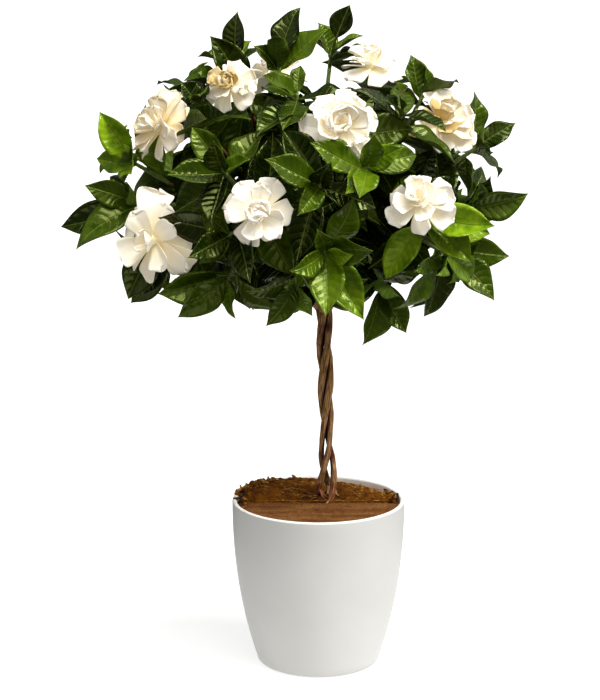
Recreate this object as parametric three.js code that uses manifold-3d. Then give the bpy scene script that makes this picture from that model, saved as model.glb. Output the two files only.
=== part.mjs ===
// Gardenia trained as a small standard tree, in a plain white pot.
// Three slender plants are twisted into one trunk. Each carries its own share of the round crown:
// brown branches end in green leafy shoots, and some of those shoots end in a double white bloom.
// Millimetres, +Z up. The origin is the middle of the pot's flat underside. -Y faces the viewer.

import * as THREE from "three";
import { mergeVertices } from "three/addons/utils/BufferGeometryUtils.js";
import Module from "manifold-3d";

const wasm = await Module();
wasm.setup();

// Driving dimensions
const POT_HEIGHT = 174;
const POT_RIM_RADIUS = 89;
const POT_BASE_RADIUS = 62;
const POT_CURVE = 2.2;
const POT_WALL = 4.5;
const POT_FLOOR = 6;
const POT_FOOT_ROUND = 8;
const POT_FLOOR_ROUND = 4;
const POT_SIDES = 32;
const GAP = 0.3;

const SOIL_LEVEL = 168;
const STEM_FOOT_LEVEL = 118;

const TRUNK = { x: 9, y: 24, lean: -4, top: 372, turns: 1.3, bundle: 4.3, splay: 7, stem: 3.5 };
const MULCH = { middle: 42, front: 7, depth: 3.6, edge: 2.6, least: 0.8, fall: 0.026 };
const BOUGH_RADIUS = 2.7;
const BRANCH_RADIUS = 1.9;

const CROWN = { centre: new THREE.Vector3(-25, 0, 497), reach: new THREE.Vector3(185, 165, 125) };
const TWIG = { length: 46, foot: 2.2, tip: 1.9, sides: 4 };
const CALYX = { length: 11, foot: 1.7, mouth: 3.4, sides: 5 };

// Blades: each station is a share of the length, a share of the half breadth and a keel depth
const LEAF = { length: 70, breadth: 0.47, root: 1.2 };
const LEAF_STATIONS = [[0, 0, 0], [0.13, 0.17, 2], [0.46, 1, 1.9], [0.76, 0.72, 1.4], [1, 0, 0]];
const PETAL = { length: 37, breadth: 0.7 };
const PETAL_STATIONS = [[0, 0, 0], [0.64, 1, 1.6], [1, 0.5, 0.9]];
const CLEARANCE = 1.9;

const UP = new THREE.Vector3(0, 0, 1);
const DEGREE = Math.PI / 180;
const GOLDEN_TURN = 137.508 * DEGREE;

const white = new THREE.MeshStandardMaterial({ color: 0xe6e5e1, roughness: 0.42, metalness: 0 });
const earth = new THREE.MeshStandardMaterial({ color: 0x744e2f, roughness: 0.95, metalness: 0 });
const coir = new THREE.MeshStandardMaterial({ color: 0x5a3312, roughness: 0.95, metalness: 0 });
const bark = new THREE.MeshStandardMaterial({ color: 0x8a6a4c, roughness: 0.85, metalness: 0 });
const leafGreen = new THREE.MeshStandardMaterial({ color: 0x2c4a10, roughness: 0.3, metalness: 0 });
const youngGreen = new THREE.MeshStandardMaterial({ color: 0x5e8a14, roughness: 0.35, metalness: 0 });
const petalWhite = new THREE.MeshStandardMaterial({ color: 0xf3ecdc, roughness: 0.55, metalness: 0 });
const petalCream = new THREE.MeshStandardMaterial({ color: 0xe6d3ab, roughness: 0.55, metalness: 0 });

// Seeded draws from 0 to 1, the same on every run
function drawsFrom(seed) {
  let state = seed | 0;
  return () => {
    state = (state + 0x6d2b79f5) | 0;
    let mixed = Math.imul(state ^ (state >>> 15), 1 | state);
    mixed = (mixed + Math.imul(mixed ^ (mixed >>> 7), 61 | mixed)) ^ mixed;
    return ((mixed ^ (mixed >>> 14)) >>> 0) / 4294967296;
  };
}

// A closed three.js geometry as a solid, its faces turned outwards
function solidOf(geometry) {
  const bare = geometry.clone();
  bare.deleteAttribute("normal");
  bare.deleteAttribute("uv");
  const merged = mergeVertices(bare, 1e-4);
  const place = merged.attributes.position;
  const triVerts = new Uint32Array(merged.index.array);
  const [a, b, c] = [new THREE.Vector3(), new THREE.Vector3(), new THREE.Vector3()];
  let volume = 0;
  for (let i = 0; i < triVerts.length; i += 3) {
    a.fromBufferAttribute(place, triVerts[i]);
    b.fromBufferAttribute(place, triVerts[i + 1]);
    c.fromBufferAttribute(place, triVerts[i + 2]);
    volume += a.dot(b.cross(c));
  }
  if (volume < 0) triVerts.reverse();
  return new wasm.Manifold(new wasm.Mesh({ numProp: 3, vertProperties: place.array, triVerts }));
}

// A solid as a named mesh
function meshOf(solid, name, material) {
  const made = solid.getMesh();
  const geometry = new THREE.BufferGeometry();
  geometry.setAttribute("position", new THREE.BufferAttribute(made.vertProperties, 3));
  geometry.setIndex(new THREE.BufferAttribute(made.triVerts, 1));
  geometry.computeVertexNormals();
  const mesh = new THREE.Mesh(geometry, material);
  mesh.name = name;
  return mesh;
}

function joined(solids) {
  return solids.reduce((whole, next) => whole.add(next)).simplify(0.12);
}

// A profile of [radius, height] points turned round the vertical axis
function turned(profile, sides) {
  const points = profile.map(([radius, height]) => new THREE.Vector2(radius, height));
  return new THREE.LatheGeometry(points, sides).rotateX(Math.PI / 2);
}

// A round rod of one thickness along a path
function rod(path, radius, sides, steps) {
  const corners = Array.from({ length: sides }, (_, i) => {
    const angle = (2 * Math.PI * i) / sides;
    return new THREE.Vector2(radius * Math.cos(angle), radius * Math.sin(angle));
  });
  const section = new THREE.Shape(corners);
  return new THREE.ExtrudeGeometry(section, { extrudePath: path, steps, bevelEnabled: false });
}

// A tapered rod from one point to another
function taperedRod(from, to, footRadius, tipRadius, sides) {
  const axis = to.clone().sub(from);
  const geometry = new THREE.CylinderGeometry(tipRadius, footRadius, axis.length(), sides, 1);
  const upright = new THREE.Vector3(0, 1, 0);
  geometry.applyQuaternion(new THREE.Quaternion().setFromUnitVectors(upright, axis.clone().normalize()));
  return geometry.translate(...from.clone().add(to).multiplyScalar(0.5).toArray());
}

// The pot's outside radius at a height: a power curve that tucks in towards the foot
function potRadius(height) {
  return POT_RIM_RADIUS - (POT_RIM_RADIUS - POT_BASE_RADIUS) * (1 - height / POT_HEIGHT) ** POT_CURVE;
}

function makePot() {
  const wallHeights = [0.11, 0.3, 0.6, 1].map((share) => share * POT_HEIGHT);
  const foot = potRadius(POT_FOOT_ROUND) - POT_FOOT_ROUND;
  const footRound = [0, 48].map((angle) => [
    foot + POT_FOOT_ROUND * Math.sin(angle * DEGREE),
    POT_FOOT_ROUND * (1 - Math.cos(angle * DEGREE)),
  ]);
  const outside = wallHeights.map((height) => [potRadius(height), height]);
  const lip = 1.2;
  outside[outside.length - 1] = [POT_RIM_RADIUS, POT_HEIGHT - lip];
  const rim = [
    [POT_RIM_RADIUS - lip, POT_HEIGHT],
    [POT_RIM_RADIUS - POT_WALL + lip, POT_HEIGHT],
  ];
  const inside = [0.6, 0.2].map((share) => [potRadius(share * POT_HEIGHT) - POT_WALL, share * POT_HEIGHT]);
  const mouth = [[POT_RIM_RADIUS - POT_WALL, POT_HEIGHT - lip]];
  const floor = [
    [potRadius(POT_FLOOR) - POT_WALL - POT_FLOOR_ROUND, POT_FLOOR],
    [0, POT_FLOOR],
  ];
  const profile = [[0, 0], ...footRound, ...outside, ...rim, ...mouth, ...inside, ...floor];
  return solidOf(turned(profile, POT_SIDES));
}

// A stem's centreline. The three stems wind round one axis, lie close together in the trunk and
// splay apart a little towards the soil.
function stemPoint(stem, height) {
  const share = (height - SOIL_LEVEL) / (TRUNK.top - SOIL_LEVEL);
  const spread = Math.max(0, 1 - share / 0.22);
  const radius = TRUNK.bundle + TRUNK.splay * spread * spread;
  const bearing = (stem * 120 + 155) * DEGREE - TRUNK.turns * 2 * Math.PI * (1 - Math.max(share, -0.05));
  const lean = TRUNK.lean * share * share;
  const across = TRUNK.x + lean + radius * Math.cos(bearing);
  return new THREE.Vector3(across, TRUNK.y + radius * Math.sin(bearing), height);
}

function stemPath(stem) {
  const steps = 15;
  const above = Array.from({ length: steps + 1 }, (_, i) => {
    return stemPoint(stem, SOIL_LEVEL + ((TRUNK.top - SOIL_LEVEL) * i) / steps);
  });
  const foot = above[0].clone().setZ(STEM_FOOT_LEVEL);
  return [foot, above[0].clone().setZ((STEM_FOOT_LEVEL + SOIL_LEVEL) / 2), ...above];
}

function stemSolid(stem, extra) {
  return solidOf(rod(new THREE.CatmullRomCurve3(stemPath(stem)), TRUNK.stem + extra, 6, 15));
}

// The root ball fills the pot to just under the rim
function makeSoil() {
  const side = [0.6, SOIL_LEVEL / POT_HEIGHT].map((share) => {
    const height = share * POT_HEIGHT;
    return [potRadius(height) - POT_WALL - 4 * GAP, height];
  });
  const bottom = POT_FLOOR + GAP;
  const foot = [potRadius(bottom) - POT_WALL - POT_FLOOR_ROUND - 3 * GAP, bottom];
  const profile = [[0, bottom], foot, ...side, [0, SOIL_LEVEL]];
  const ball = solidOf(turned(profile, 24));
  return [0, 1, 2].reduce((whole, stem) => whole.subtract(stemHole(stem)), ball);
}

// The plain hole that a stem stands in
function stemHole(stem) {
  const path = stemPath(stem);
  path[0].z -= GAP;
  return solidOf(rod(new THREE.CatmullRomCurve3(path), TRUNK.stem + 1.2 * GAP, 6, 15));
}

// Coarse coir chips spread round the trunk and over the back of the soil, with a straight front
// edge: a grid of rings and bearings whose height is a sum of waves and falls towards +X.
function makeMulch() {
  const rings = 4;
  const bearings = 18;
  const inner = potRadius(SOIL_LEVEL) - POT_WALL - 4 * GAP - 2;
  const centre = new THREE.Vector2(0, MULCH.middle);
  const bottom = SOIL_LEVEL + GAP;
  const places = [];
  const faces = [];
  const rim = (bearing) => {
    const way = new THREE.Vector2(Math.cos(bearing), Math.sin(bearing));
    const ahead = centre.dot(way);
    const wall = -ahead + Math.sqrt(ahead * ahead + inner * inner - centre.lengthSq());
    const front = way.y < 0 ? (MULCH.middle - MULCH.front + Math.sin(9 * bearing)) / -way.y : Infinity;
    return way.multiplyScalar(Math.min(wall, front));
  };
  for (let ring = 0; ring <= rings; ring++) {
    const share = ring / rings;
    for (let k = 0; k < bearings; k++) {
      const at = rim((2 * Math.PI * k) / bearings).multiplyScalar(share).add(centre);
      const broad = Math.sin(0.31 * at.x + 1.3) * Math.cos(0.37 * at.y);
      const waves = broad + 0.6 * Math.sin(0.9 * at.x + 0.7 * at.y);
      const height = (ring === rings ? MULCH.edge + 0.5 * waves : MULCH.depth + waves) - MULCH.fall * at.x;
      places.push(at.x, at.y, bottom + Math.max(height, MULCH.least));
      if (ring === 0) break;
    }
  }
  const outer = (k) => 1 + (rings - 1) * bearings + (k % bearings);
  const lower = places.length / 3;
  for (let k = 0; k < bearings; k++) {
    places.push(places[3 * outer(k)], places[3 * outer(k) + 1], bottom);
  }
  places.push(centre.x, centre.y, bottom);
  for (let k = 0; k < bearings; k++) {
    const next = (k + 1) % bearings;
    faces.push(0, 1 + k, 1 + next);
    for (let ring = 0; ring < rings - 1; ring++) {
      const [a, b] = [1 + ring * bearings + k, 1 + ring * bearings + next];
      faces.push(a, a + bearings, b + bearings, a, b + bearings, b);
    }
    faces.push(outer(k), lower + k, lower + next, outer(k), lower + next, outer(next));
    faces.push(lower + bearings, lower + next, lower + k);
  }
  const geometry = new THREE.BufferGeometry();
  geometry.setAttribute("position", new THREE.BufferAttribute(new Float32Array(places), 3));
  geometry.setIndex(faces);
  return [0, 1, 2].reduce((whole, stem) => whole.subtract(stemHole(stem)), solidOf(geometry));
}

// A blade is a leaf or a petal: two margins and a shallow keel under the midrib. It leaves its
// root along one direction and bends away from its face as it runs out.
function bladeRings(blade, stations) {
  const side = new THREE.Vector3().crossVectors(blade.along, blade.face);
  return stations.map(([share, breadth, depth]) => {
    const turn = blade.bend * share;
    const run = (blade.length * Math.sin(turn)) / blade.bend;
    const drop = (blade.length * (1 - Math.cos(turn))) / blade.bend;
    const rib = blade.root.clone().addScaledVector(blade.along, run).addScaledVector(blade.face, -drop);
    const normal = blade.face.clone().multiplyScalar(Math.cos(turn));
    normal.addScaledVector(blade.along, Math.sin(turn));
    const out = side.clone().multiplyScalar(breadth * blade.half);
    const keel = rib.clone().addScaledVector(normal, -depth);
    return { rib, normal, keel, left: rib.clone().sub(out), right: rib.clone().add(out) };
  });
}

// A blade as a closed solid with a three-sided section: the two margins and the keel. It begins
// in a point inside its carrier, and a leaf ends in a point too.
function bladeSolid(blade, stations) {
  const rings = bladeRings(blade, stations);
  const last = rings.length - 1;
  const pointed = stations[last][1] === 0;
  const corners = rings.flatMap(({ rib, keel, left, right }, i) => {
    return i === 0 || (pointed && i === last) ? [rib] : [left, right, keel];
  });
  const end = 3 * last - 2;
  const faces = [];
  for (let k = 0; k < 3; k++) {
    const next = (k + 1) % 3;
    faces.push(0, 1 + k, 1 + next);
    for (let i = 1; i < last; i++) {
      const [a, b] = [3 * i - 2 + k, 3 * i - 2 + next];
      if (pointed && i === last - 1) faces.push(b, a, end);
      else faces.push(a, a + 3, b, b, a + 3, b + 3);
    }
  }
  if (!pointed) faces.push(end, end + 2, end + 1);
  const places = new Float32Array(corners.flatMap((corner) => corner.toArray()));
  const geometry = new THREE.BufferGeometry();
  geometry.setAttribute("position", new THREE.BufferAttribute(places, 3));
  geometry.setIndex(faces);
  return solidOf(geometry);
}

// Clearance between things that must not cross. Each is a set of triangles, with the segments
// that would pierce a neighbour: its edges, and short normals that keep the two apart.
function outlineOf(rings, from) {
  const triangles = [];
  const segments = [];
  const guard = (place, normal) => {
    const offset = normal.clone().multiplyScalar(CLEARANCE);
    segments.push([place.clone().sub(offset), place.clone().add(offset)]);
  };
  for (let i = from; i < rings.length; i++) {
    const { rib, normal, left, right, keel } = rings[i];
    for (const place of [rib, left, right]) guard(place, normal);
    segments.push([left, right], [left, keel], [right, keel]);
    if (i === from) continue;
    const before = rings[i - 1];
    for (const [one, other] of [["left", "right"], ["left", "keel"], ["right", "keel"]]) {
      triangles.push([before[one], before[other], rings[i][other]]);
      triangles.push([before[one], rings[i][other], rings[i][one]]);
    }
    for (const edge of ["left", "right", "keel"]) segments.push([before[edge], rings[i][edge]]);
    for (const edge of ["left", "right"]) {
      const middle = before[edge].clone().add(before.rib).add(rib).add(rings[i][edge]).multiplyScalar(0.25);
      guard(middle, normal);
    }
  }
  return bounded(triangles, segments);
}

function rodOutline(from, to, radius) {
  const axis = to.clone().sub(from).normalize();
  const aside = Math.abs(axis.z) < 0.9 ? UP : new THREE.Vector3(1, 0, 0);
  const across = new THREE.Vector3().crossVectors(axis, aside).normalize();
  const other = new THREE.Vector3().crossVectors(axis, across);
  const triangles = [];
  const segments = [[from, to]];
  for (const way of [across, other]) {
    const offset = way.clone().multiplyScalar(radius + CLEARANCE / 2);
    const foot = [from.clone().sub(offset), from.clone().add(offset)];
    const corners = [...foot, to.clone().add(offset), to.clone().sub(offset)];
    triangles.push([corners[0], corners[1], corners[2]], [corners[0], corners[2], corners[3]]);
    segments.push([corners[0], corners[3]], [corners[1], corners[2]]);
  }
  return bounded(triangles, segments);
}

function bounded(triangles, segments) {
  const ball = new THREE.Box3().setFromPoints(segments.flat());
  const centre = ball.getCenter(new THREE.Vector3());
  return { triangles, segments, centre, radius: ball.min.distanceTo(ball.max) / 2 };
}

// Whether a segment passes through a triangle
function pierces([from, to], [a, b, c]) {
  const way = to.clone().sub(from);
  const ab = b.clone().sub(a);
  const ac = c.clone().sub(a);
  const cross = new THREE.Vector3().crossVectors(way, ac);
  const scale = ab.dot(cross);
  if (Math.abs(scale) < 1e-9) return false;
  const offset = from.clone().sub(a);
  const u = offset.dot(cross) / scale;
  if (u < 0 || u > 1) return false;
  const turnedOffset = offset.cross(ab);
  const v = way.dot(turnedOffset) / scale;
  if (v < 0 || u + v > 1) return false;
  const t = ac.dot(turnedOffset) / scale;
  return t >= 0 && t <= 1;
}

function touches(one, other) {
  if (one.centre.distanceTo(other.centre) > one.radius + other.radius) return false;
  const through = (a, b) =>
    a.segments.some((segment) => b.triangles.some((triangle) => pierces(segment, triangle)));
  return through(one, other) || through(other, one);
}

// The crown's outward direction at a place
function outwards(place) {
  const away = place.clone().sub(CROWN.centre);
  return away.divide(CROWN.reach).divide(CROWN.reach).normalize();
}

// Shoots seen from the front. Each has its tip, and the tips of the leaves that reach out of the
// crown's outline. count is how many leaves it has in all, and turn the bearing of its first one.
// A bloom's shoot has the way the bloom faces, and its size as a share if that isn't full size.
const FRONT_SHOOTS = [
  { tip: [-137, -60, 562], faces: [-0.75, -0.6, 0.3], bloom: "cream", count: 5, turn: 40,
    reach: [[-108, -116, 584]] },
  { tip: [-80, -52, 598], faces: [-0.3, -0.8, 0.48], bloom: "cream", size: 0.76, count: 5, turn: 200,
    reach: [] },
  { tip: [50, -12, 602], faces: [0.05, -0.3, 0.95], bloom: "white", size: 0.88, count: 5, turn: 90,
    reach: [] },
  { tip: [20, -96, 568], faces: [0.0, -0.93, 0.35], bloom: "white", size: 1.1, count: 5, turn: 10,
    reach: [] },
  { tip: [118, -24, 550], faces: [0.15, -0.62, 0.78], bloom: "cream", count: 5, turn: 130, reach: [] },
  { tip: [-149, -82, 462], faces: [-0.45, -0.88, 0.05], bloom: "cream", size: 1.16, count: 5, turn: 250,
    reach: [[-190, -68, 396]] },
  { tip: [-56, -136, 498], faces: [-0.1, -0.97, 0.12], bloom: "white", count: 6, turn: 300, reach: [] },
  { tip: [98, -106, 490], faces: [-0.1, -0.8, 0.6], bloom: "white", size: 0.94, count: 5, turn: 330,
    reach: [[168, -128, 482]] },
  { tip: [5, -152, 460], count: 8, turn: 20, young: true,
    reach: [[-27, -188, 448], [50, -186, 468], [5, -188, 405], [42, -160, 396]] },
  { tip: [0, -150, 524], count: 7, turn: 60, reach: [[-52, -166, 553], [10, -176, 548]] },
  { tip: [45, -138, 540], count: 7, turn: 100, young: true,
    reach: [[50, -162, 575], [78, -150, 560], [25, -178, 522]] },
  { tip: [-92, -132, 536], count: 7, turn: 15, reach: [[-100, -162, 568], [-145, -150, 535]] },
  { tip: [-22, -78, 603], count: 7, turn: 75, reach: [[-55, -100, 622], [-36, -130, 574]] },
  { tip: [80, -76, 583], count: 6, turn: 140, reach: [[60, -112, 603]] },
  { tip: [122, -98, 449], count: 7, turn: 190, young: true, reach: [[90, -135, 438]] },
  { tip: [-180, -62, 492], count: 7, turn: 240,
    reach: [[-230, -70, 512], [-258, -50, 467], [-240, -88, 453]] },
  { tip: [-186, -42, 532], count: 6, turn: 45, young: true,
    reach: [[-216, -45, 582], [-222, -30, 533], [-174, -40, 588]] },
  { tip: [-88, -100, 424], count: 7, turn: 280, reach: [[-138, -110, 388], [-158, -104, 410]] },
  { tip: [-22, -108, 420], count: 7, turn: 310, reach: [[-52, -120, 382], [-70, -132, 415]] },
  { tip: [64, -82, 414], count: 8, turn: 170, reach: [[44, -80, 352], [86, -90, 368], [76, -122, 410]] },
  { tip: [132, -52, 440], count: 7, turn: 220, reach: [[175, -60, 395], [106, -52, 374], [190, -40, 436]] },
  { tip: [148, -62, 486], count: 7, turn: 350, reach: [[206, -70, 502], [168, -62, 520]] },
  { tip: [158, -14, 542], count: 7, turn: 30, reach: [[196, -10, 566], [156, 0, 597]] },
  { tip: [104, -8, 594], count: 6, turn: 80, reach: [[128, 20, 600], [92, 0, 634]] },
  { tip: [-40, -16, 630], count: 7, turn: 110,
    reach: [[-20, 0, 682], [8, -22, 662], [-42, -42, 658], [-62, -28, 645]] },
  { tip: [-84, -6, 626], count: 6, turn: 150, reach: [[-82, 0, 676], [-108, -12, 652], [-132, -46, 616]] },
  { tip: [-118, -52, 592], count: 6, turn: 175, reach: [[-134, -58, 612]] },
  { tip: [-152, -30, 424], count: 7, turn: 205, reach: [[-190, -20, 384]] },
  { tip: [12, 12, 632], count: 6, turn: 260, reach: [[0, 20, 664], [30, 0, 682]] },
  { tip: [-86, -136, 474], count: 7, turn: 130, reach: [[-125, -168, 458], [-66, -180, 436]] },
];

// Rows of shoots round the back: height above the crown's middle as a share of its reach, and
// the bearings in degrees from +X towards +Y. A bloom opens on each shoot named in the last list.
const BACK_ROWS = [
  { height: 0.78, bearings: [40, 100, 158], blooms: [100] },
  { height: 0.26, bearings: [18, 68, 116, 163], blooms: [68] },
  { height: -0.28, bearings: [34, 88, 140], blooms: [] },
  { height: -0.7, bearings: [60, 120], blooms: [] },
];

function backShoots() {
  return BACK_ROWS.flatMap(({ height, bearings, blooms }) =>
    bearings.map((bearing) => {
      const level = Math.sqrt(1 - height * height);
      const [across, along] = [Math.cos(bearing * DEGREE), Math.sin(bearing * DEGREE)];
      const way = new THREE.Vector3(level * across, level * along, height);
      const bloom = blooms.includes(bearing) ? "white" : undefined;
      const tip = way.multiply(CROWN.reach).multiplyScalar(bloom ? 0.84 : 1).add(CROWN.centre).toArray();
      return { tip, bloom, count: bloom ? 5 : 7, turn: bearing * 3, reach: [] };
    }),
  );
}

// Each shoot with its own frame: the tip, the way it grows, and the foot that meets its branch
function growShoot(shoot, index) {
  const tip = new THREE.Vector3(...shoot.tip);
  const grows = shoot.faces ? new THREE.Vector3(...shoot.faces) : outwards(tip).addScaledVector(UP, 0.15);
  grows.normalize();
  const foot = tip.clone().addScaledVector(grows, -TWIG.length);
  const number = String(index + 1).padStart(2, "0");
  return { size: 1, ...shoot, tip, grows, foot, number, seed: 101 + 17 * index };
}

// Two directions across an axis, the first level with the ground
function crossFrame(axis) {
  const first = new THREE.Vector3().crossVectors(UP, axis).normalize();
  return [first, new THREE.Vector3().crossVectors(axis, first)];
}

// A leaf from a root to a tip. Its upper face looks out of the crown, upwards and to the front,
// where the light comes from.
const SHOWN = new THREE.Vector3(0, -0.7, 0.3);

function reachingLeaf(root, tip, bend) {
  const chord = tip.clone().sub(root);
  const length = (chord.length() * (bend / 2)) / Math.sin(bend / 2);
  chord.normalize();
  const face = outwards(tip.clone().lerp(root, 0.5)).add(SHOWN);
  face.addScaledVector(chord, -face.dot(chord)).normalize();
  const along = chord.clone().multiplyScalar(Math.cos(bend / 2)).addScaledVector(face, Math.sin(bend / 2));
  const upper = face.clone().multiplyScalar(Math.cos(bend / 2)).addScaledVector(chord, -Math.sin(bend / 2));
  const half = 0.5 * LEAF.breadth * Math.min(Math.max(length, 52), 74);
  const buried = root.clone().addScaledVector(along, -LEAF.root);
  return { root: buried, along, face: upper, length: length + LEAF.root, half, bend };
}

// A leaf of the whorl: its place on the twig, its bearing round the twig and its angle from it
function whorlLeaf(shoot, back, bearing, tilt, length, bend) {
  const [first, second] = crossFrame(shoot.grows);
  const out = first.multiplyScalar(Math.cos(bearing)).addScaledVector(second, Math.sin(bearing));
  const along = shoot.grows.clone().multiplyScalar(Math.cos(tilt)).addScaledVector(out, Math.sin(tilt));
  const face = shoot.grows.clone().multiplyScalar(Math.sin(tilt)).addScaledVector(out, -Math.cos(tilt));
  const root = shoot.tip.clone().addScaledVector(shoot.grows, -back).addScaledVector(along, -LEAF.root);
  return { root, along, face, length, half: length * LEAF.breadth * 0.5, bend };
}

// Turns tried in order for a leaf that would cross a neighbour: bearing and tilt in degrees, and
// its length as a share. A leaf that fits nowhere is left out, as a crowded one is shed.
const TURNS = [
  [0, 0, 1], [14, 0, 1], [-14, 0, 1], [0, -14, 1], [0, 14, 1], [26, -8, 0.95], [-26, -8, 0.95],
  [40, 0, 0.9], [-40, 0, 0.9], [0, -26, 0.9], [20, 18, 0.85], [-20, 18, 0.85], [60, -10, 0.8],
  [-60, -10, 0.8],
];

// The whorl from the tip down: distance back from the tip, tilt from the twig, share of full size
const WHORL = [
  [1, 30, 0.55], [2, 46, 0.72], [7, 62, 0.9], [9, 70, 1], [15, 78, 1], [18, 84, 1.04], [26, 92, 1],
  [29, 98, 0.96],
];

// A leaf is kept if it clears everything so far but the foot of its own shoot's leaves
function keepLeaf(shoot, leaf, kept) {
  const rings = bladeRings(leaf, LEAF_STATIONS);
  const whole = outlineOf(rings, 0);
  const outer = outlineOf(rings, 1);
  for (const other of kept) {
    const own = other.shoot === shoot.number;
    if (own && other.outer && touches(outer, other.outer)) return false;
    if (!own && touches(whole, other.whole)) return false;
  }
  kept.push({ shoot: shoot.number, leaf, whole, outer });
  return true;
}

// Roots tried in order for a reaching leaf: distance further back along the twig, share of bend
const REACHES = [[0, 1], [6, 1], [12, 1], [0, 1.7], [12, 1.7], [20, 1], [6, 0.3], [28, 1], [28, 1.7]];

function addReachingLeaves(shoot, kept) {
  const draw = drawsFrom(shoot.seed);
  shoot.reach.forEach((target, i) => {
    const [bend, tip] = [0.35 + 0.4 * draw(), new THREE.Vector3(...target)];
    REACHES.some(([back, curl]) => {
      const root = shoot.tip.clone().addScaledVector(shoot.grows, -3 - 4 * i - back);
      return keepLeaf(shoot, reachingLeaf(root, tip, bend * curl), kept);
    });
  });
}

function addWhorlLeaves(shoot, kept) {
  const draw = drawsFrom(shoot.seed + 5);
  const first = shoot.bloom ? 3 : 0;
  for (let i = 0; i < shoot.count - shoot.reach.length; i++) {
    const [back, tilt, size] = WHORL[Math.min(first + i, WHORL.length - 1)];
    const bearing = shoot.turn * DEGREE + i * GOLDEN_TURN + 0.3 * (draw() - 0.5);
    const length = LEAF.length * size * (0.88 + 0.24 * draw());
    const bend = 0.4 + 0.55 * draw();
    const sunk = back + 3 * Math.max(0, first + i - WHORL.length + 1);
    TURNS.some(([turn, lean, share]) => {
      const [turned, tilted] = [bearing + turn * DEGREE, (tilt + lean) * DEGREE];
      return keepLeaf(shoot, whorlLeaf(shoot, sunk, turned, tilted, length * share, bend), kept);
    });
  }
}

// The petals of a double bloom in three whorls: how many, tilt from the axis, share of full
// length, height of their roots above the calyx, and bend. Each leans a little over its neighbour.
const BLOOM_WHORLS = [
  { petals: 6, tilt: 78, size: 1, root: 9, bend: 0.5 },
  { petals: 4, tilt: 52, size: 0.84, root: 13, bend: 0.35 },
  { petals: 3, tilt: 24, size: 0.62, root: 15, bend: -0.35 },
];
const PETAL_ROLL = 0.24;
const HEART_TOP = 27;

function bloomPetals(shoot) {
  const draw = drawsFrom(shoot.seed + 7);
  const [first, second] = crossFrame(shoot.grows);
  return BLOOM_WHORLS.flatMap(({ petals, tilt, size, root, bend }, whorl) =>
    Array.from({ length: petals }, (_, i) => {
      const turn = shoot.turn * DEGREE + 0.16 * (draw() - 0.5);
      const bearing = (2 * Math.PI * (i + whorl * 0.5)) / petals + turn;
      const lean = tilt * DEGREE + 0.2 * (draw() - 0.5);
      const length = PETAL.length * shoot.size * size * (0.9 + 0.2 * draw());
      const out = first.clone().multiplyScalar(Math.cos(bearing)).addScaledVector(second, Math.sin(bearing));
      const along = shoot.grows.clone().multiplyScalar(Math.cos(lean)).addScaledVector(out, Math.sin(lean));
      const flat = shoot.grows.clone().multiplyScalar(Math.sin(lean)).addScaledVector(out, -Math.cos(lean));
      const side = new THREE.Vector3().crossVectors(along, flat);
      const face = flat.multiplyScalar(Math.cos(PETAL_ROLL)).addScaledVector(side, Math.sin(PETAL_ROLL));
      const place = shoot.tip.clone().addScaledVector(shoot.grows, CALYX.length + root);
      return { root: place, along, face, length, half: length * PETAL.breadth * 0.5, bend };
    }),
  );
}

// The bloom's tube and tight heart, turned round the way it faces
function bloomHeart(shoot) {
  const profile = [[0, GAP], [3, GAP], [4.2, 8], [7.5, 15], [6, 23], [0, HEART_TOP]];
  const heart = turned(profile, 6);
  heart.applyQuaternion(new THREE.Quaternion().setFromUnitVectors(UP, shoot.grows));
  return heart.translate(...shoot.tip.clone().addScaledVector(shoot.grows, CALYX.length).toArray());
}

function makeBloom(shoot) {
  const petals = bloomPetals(shoot).map((petal) => bladeSolid(petal, PETAL_STATIONS));
  return joined([solidOf(bloomHeart(shoot)), ...petals]);
}

function makeShoot(shoot, kept) {
  const twig = solidOf(taperedRod(shoot.foot, shoot.tip, TWIG.foot, TWIG.tip, TWIG.sides));
  const leaves = kept.filter((part) => part.leaf && part.shoot === shoot.number);
  const blades = leaves.map(({ leaf }) => bladeSolid(leaf, LEAF_STATIONS));
  const calyxFoot = shoot.tip.clone().addScaledVector(shoot.grows, -1);
  const calyxMouth = shoot.tip.clone().addScaledVector(shoot.grows, CALYX.length);
  const solids = [twig, ...blades];
  const calyx = taperedRod(calyxFoot, calyxMouth, CALYX.foot, CALYX.mouth, CALYX.sides);
  if (shoot.bloom) solids.push(solidOf(calyx));
  return joined(solids);
}

// Branches. Each stem serves a third of the shoots, those on the side that it leans to. They are
// served in groups by height, and each group by one bough whose branches leave it in turn.
const BOUGHS_PER_STEM = 3;
const FIRST_BEARING = 95;

function bearingOf({ foot }) {
  const bearing = Math.atan2(foot.y - TRUNK.y, foot.x - TRUNK.x) / DEGREE;
  return (bearing - FIRST_BEARING + 720) % 360;
}

function branchPlan(shoots) {
  const ranked = [...shoots].sort((one, other) => bearingOf(one) - bearingOf(other));
  const third = Math.ceil(shoots.length / 3);
  return [0, 1, 2].map((stem) => {
    const served = ranked.slice(stem * third, (stem + 1) * third);
    served.sort((one, other) => one.foot.z - other.foot.z);
    const share = Math.ceil(served.length / BOUGHS_PER_STEM);
    const start = stemPoint(stem, TRUNK.top - 6);
    const boughs = Array.from({ length: BOUGHS_PER_STEM }, (_, i) => {
      const group = served.slice(i * share, (i + 1) * share);
      const middle = group.reduce((sum, shoot) => sum.add(shoot.foot), new THREE.Vector3());
      middle.divideScalar(group.length);
      const end = start.clone().lerp(middle, 0.7);
      const knee = start.clone().lerp(end, 0.5).setZ(0.3 * start.z + 0.7 * end.z);
      const path = new THREE.QuadraticBezierCurve3(start, knee, end);
      return { path, branches: branchesOf(start, knee, end, group) };
    });
    return { stem, boughs };
  });
}

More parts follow.
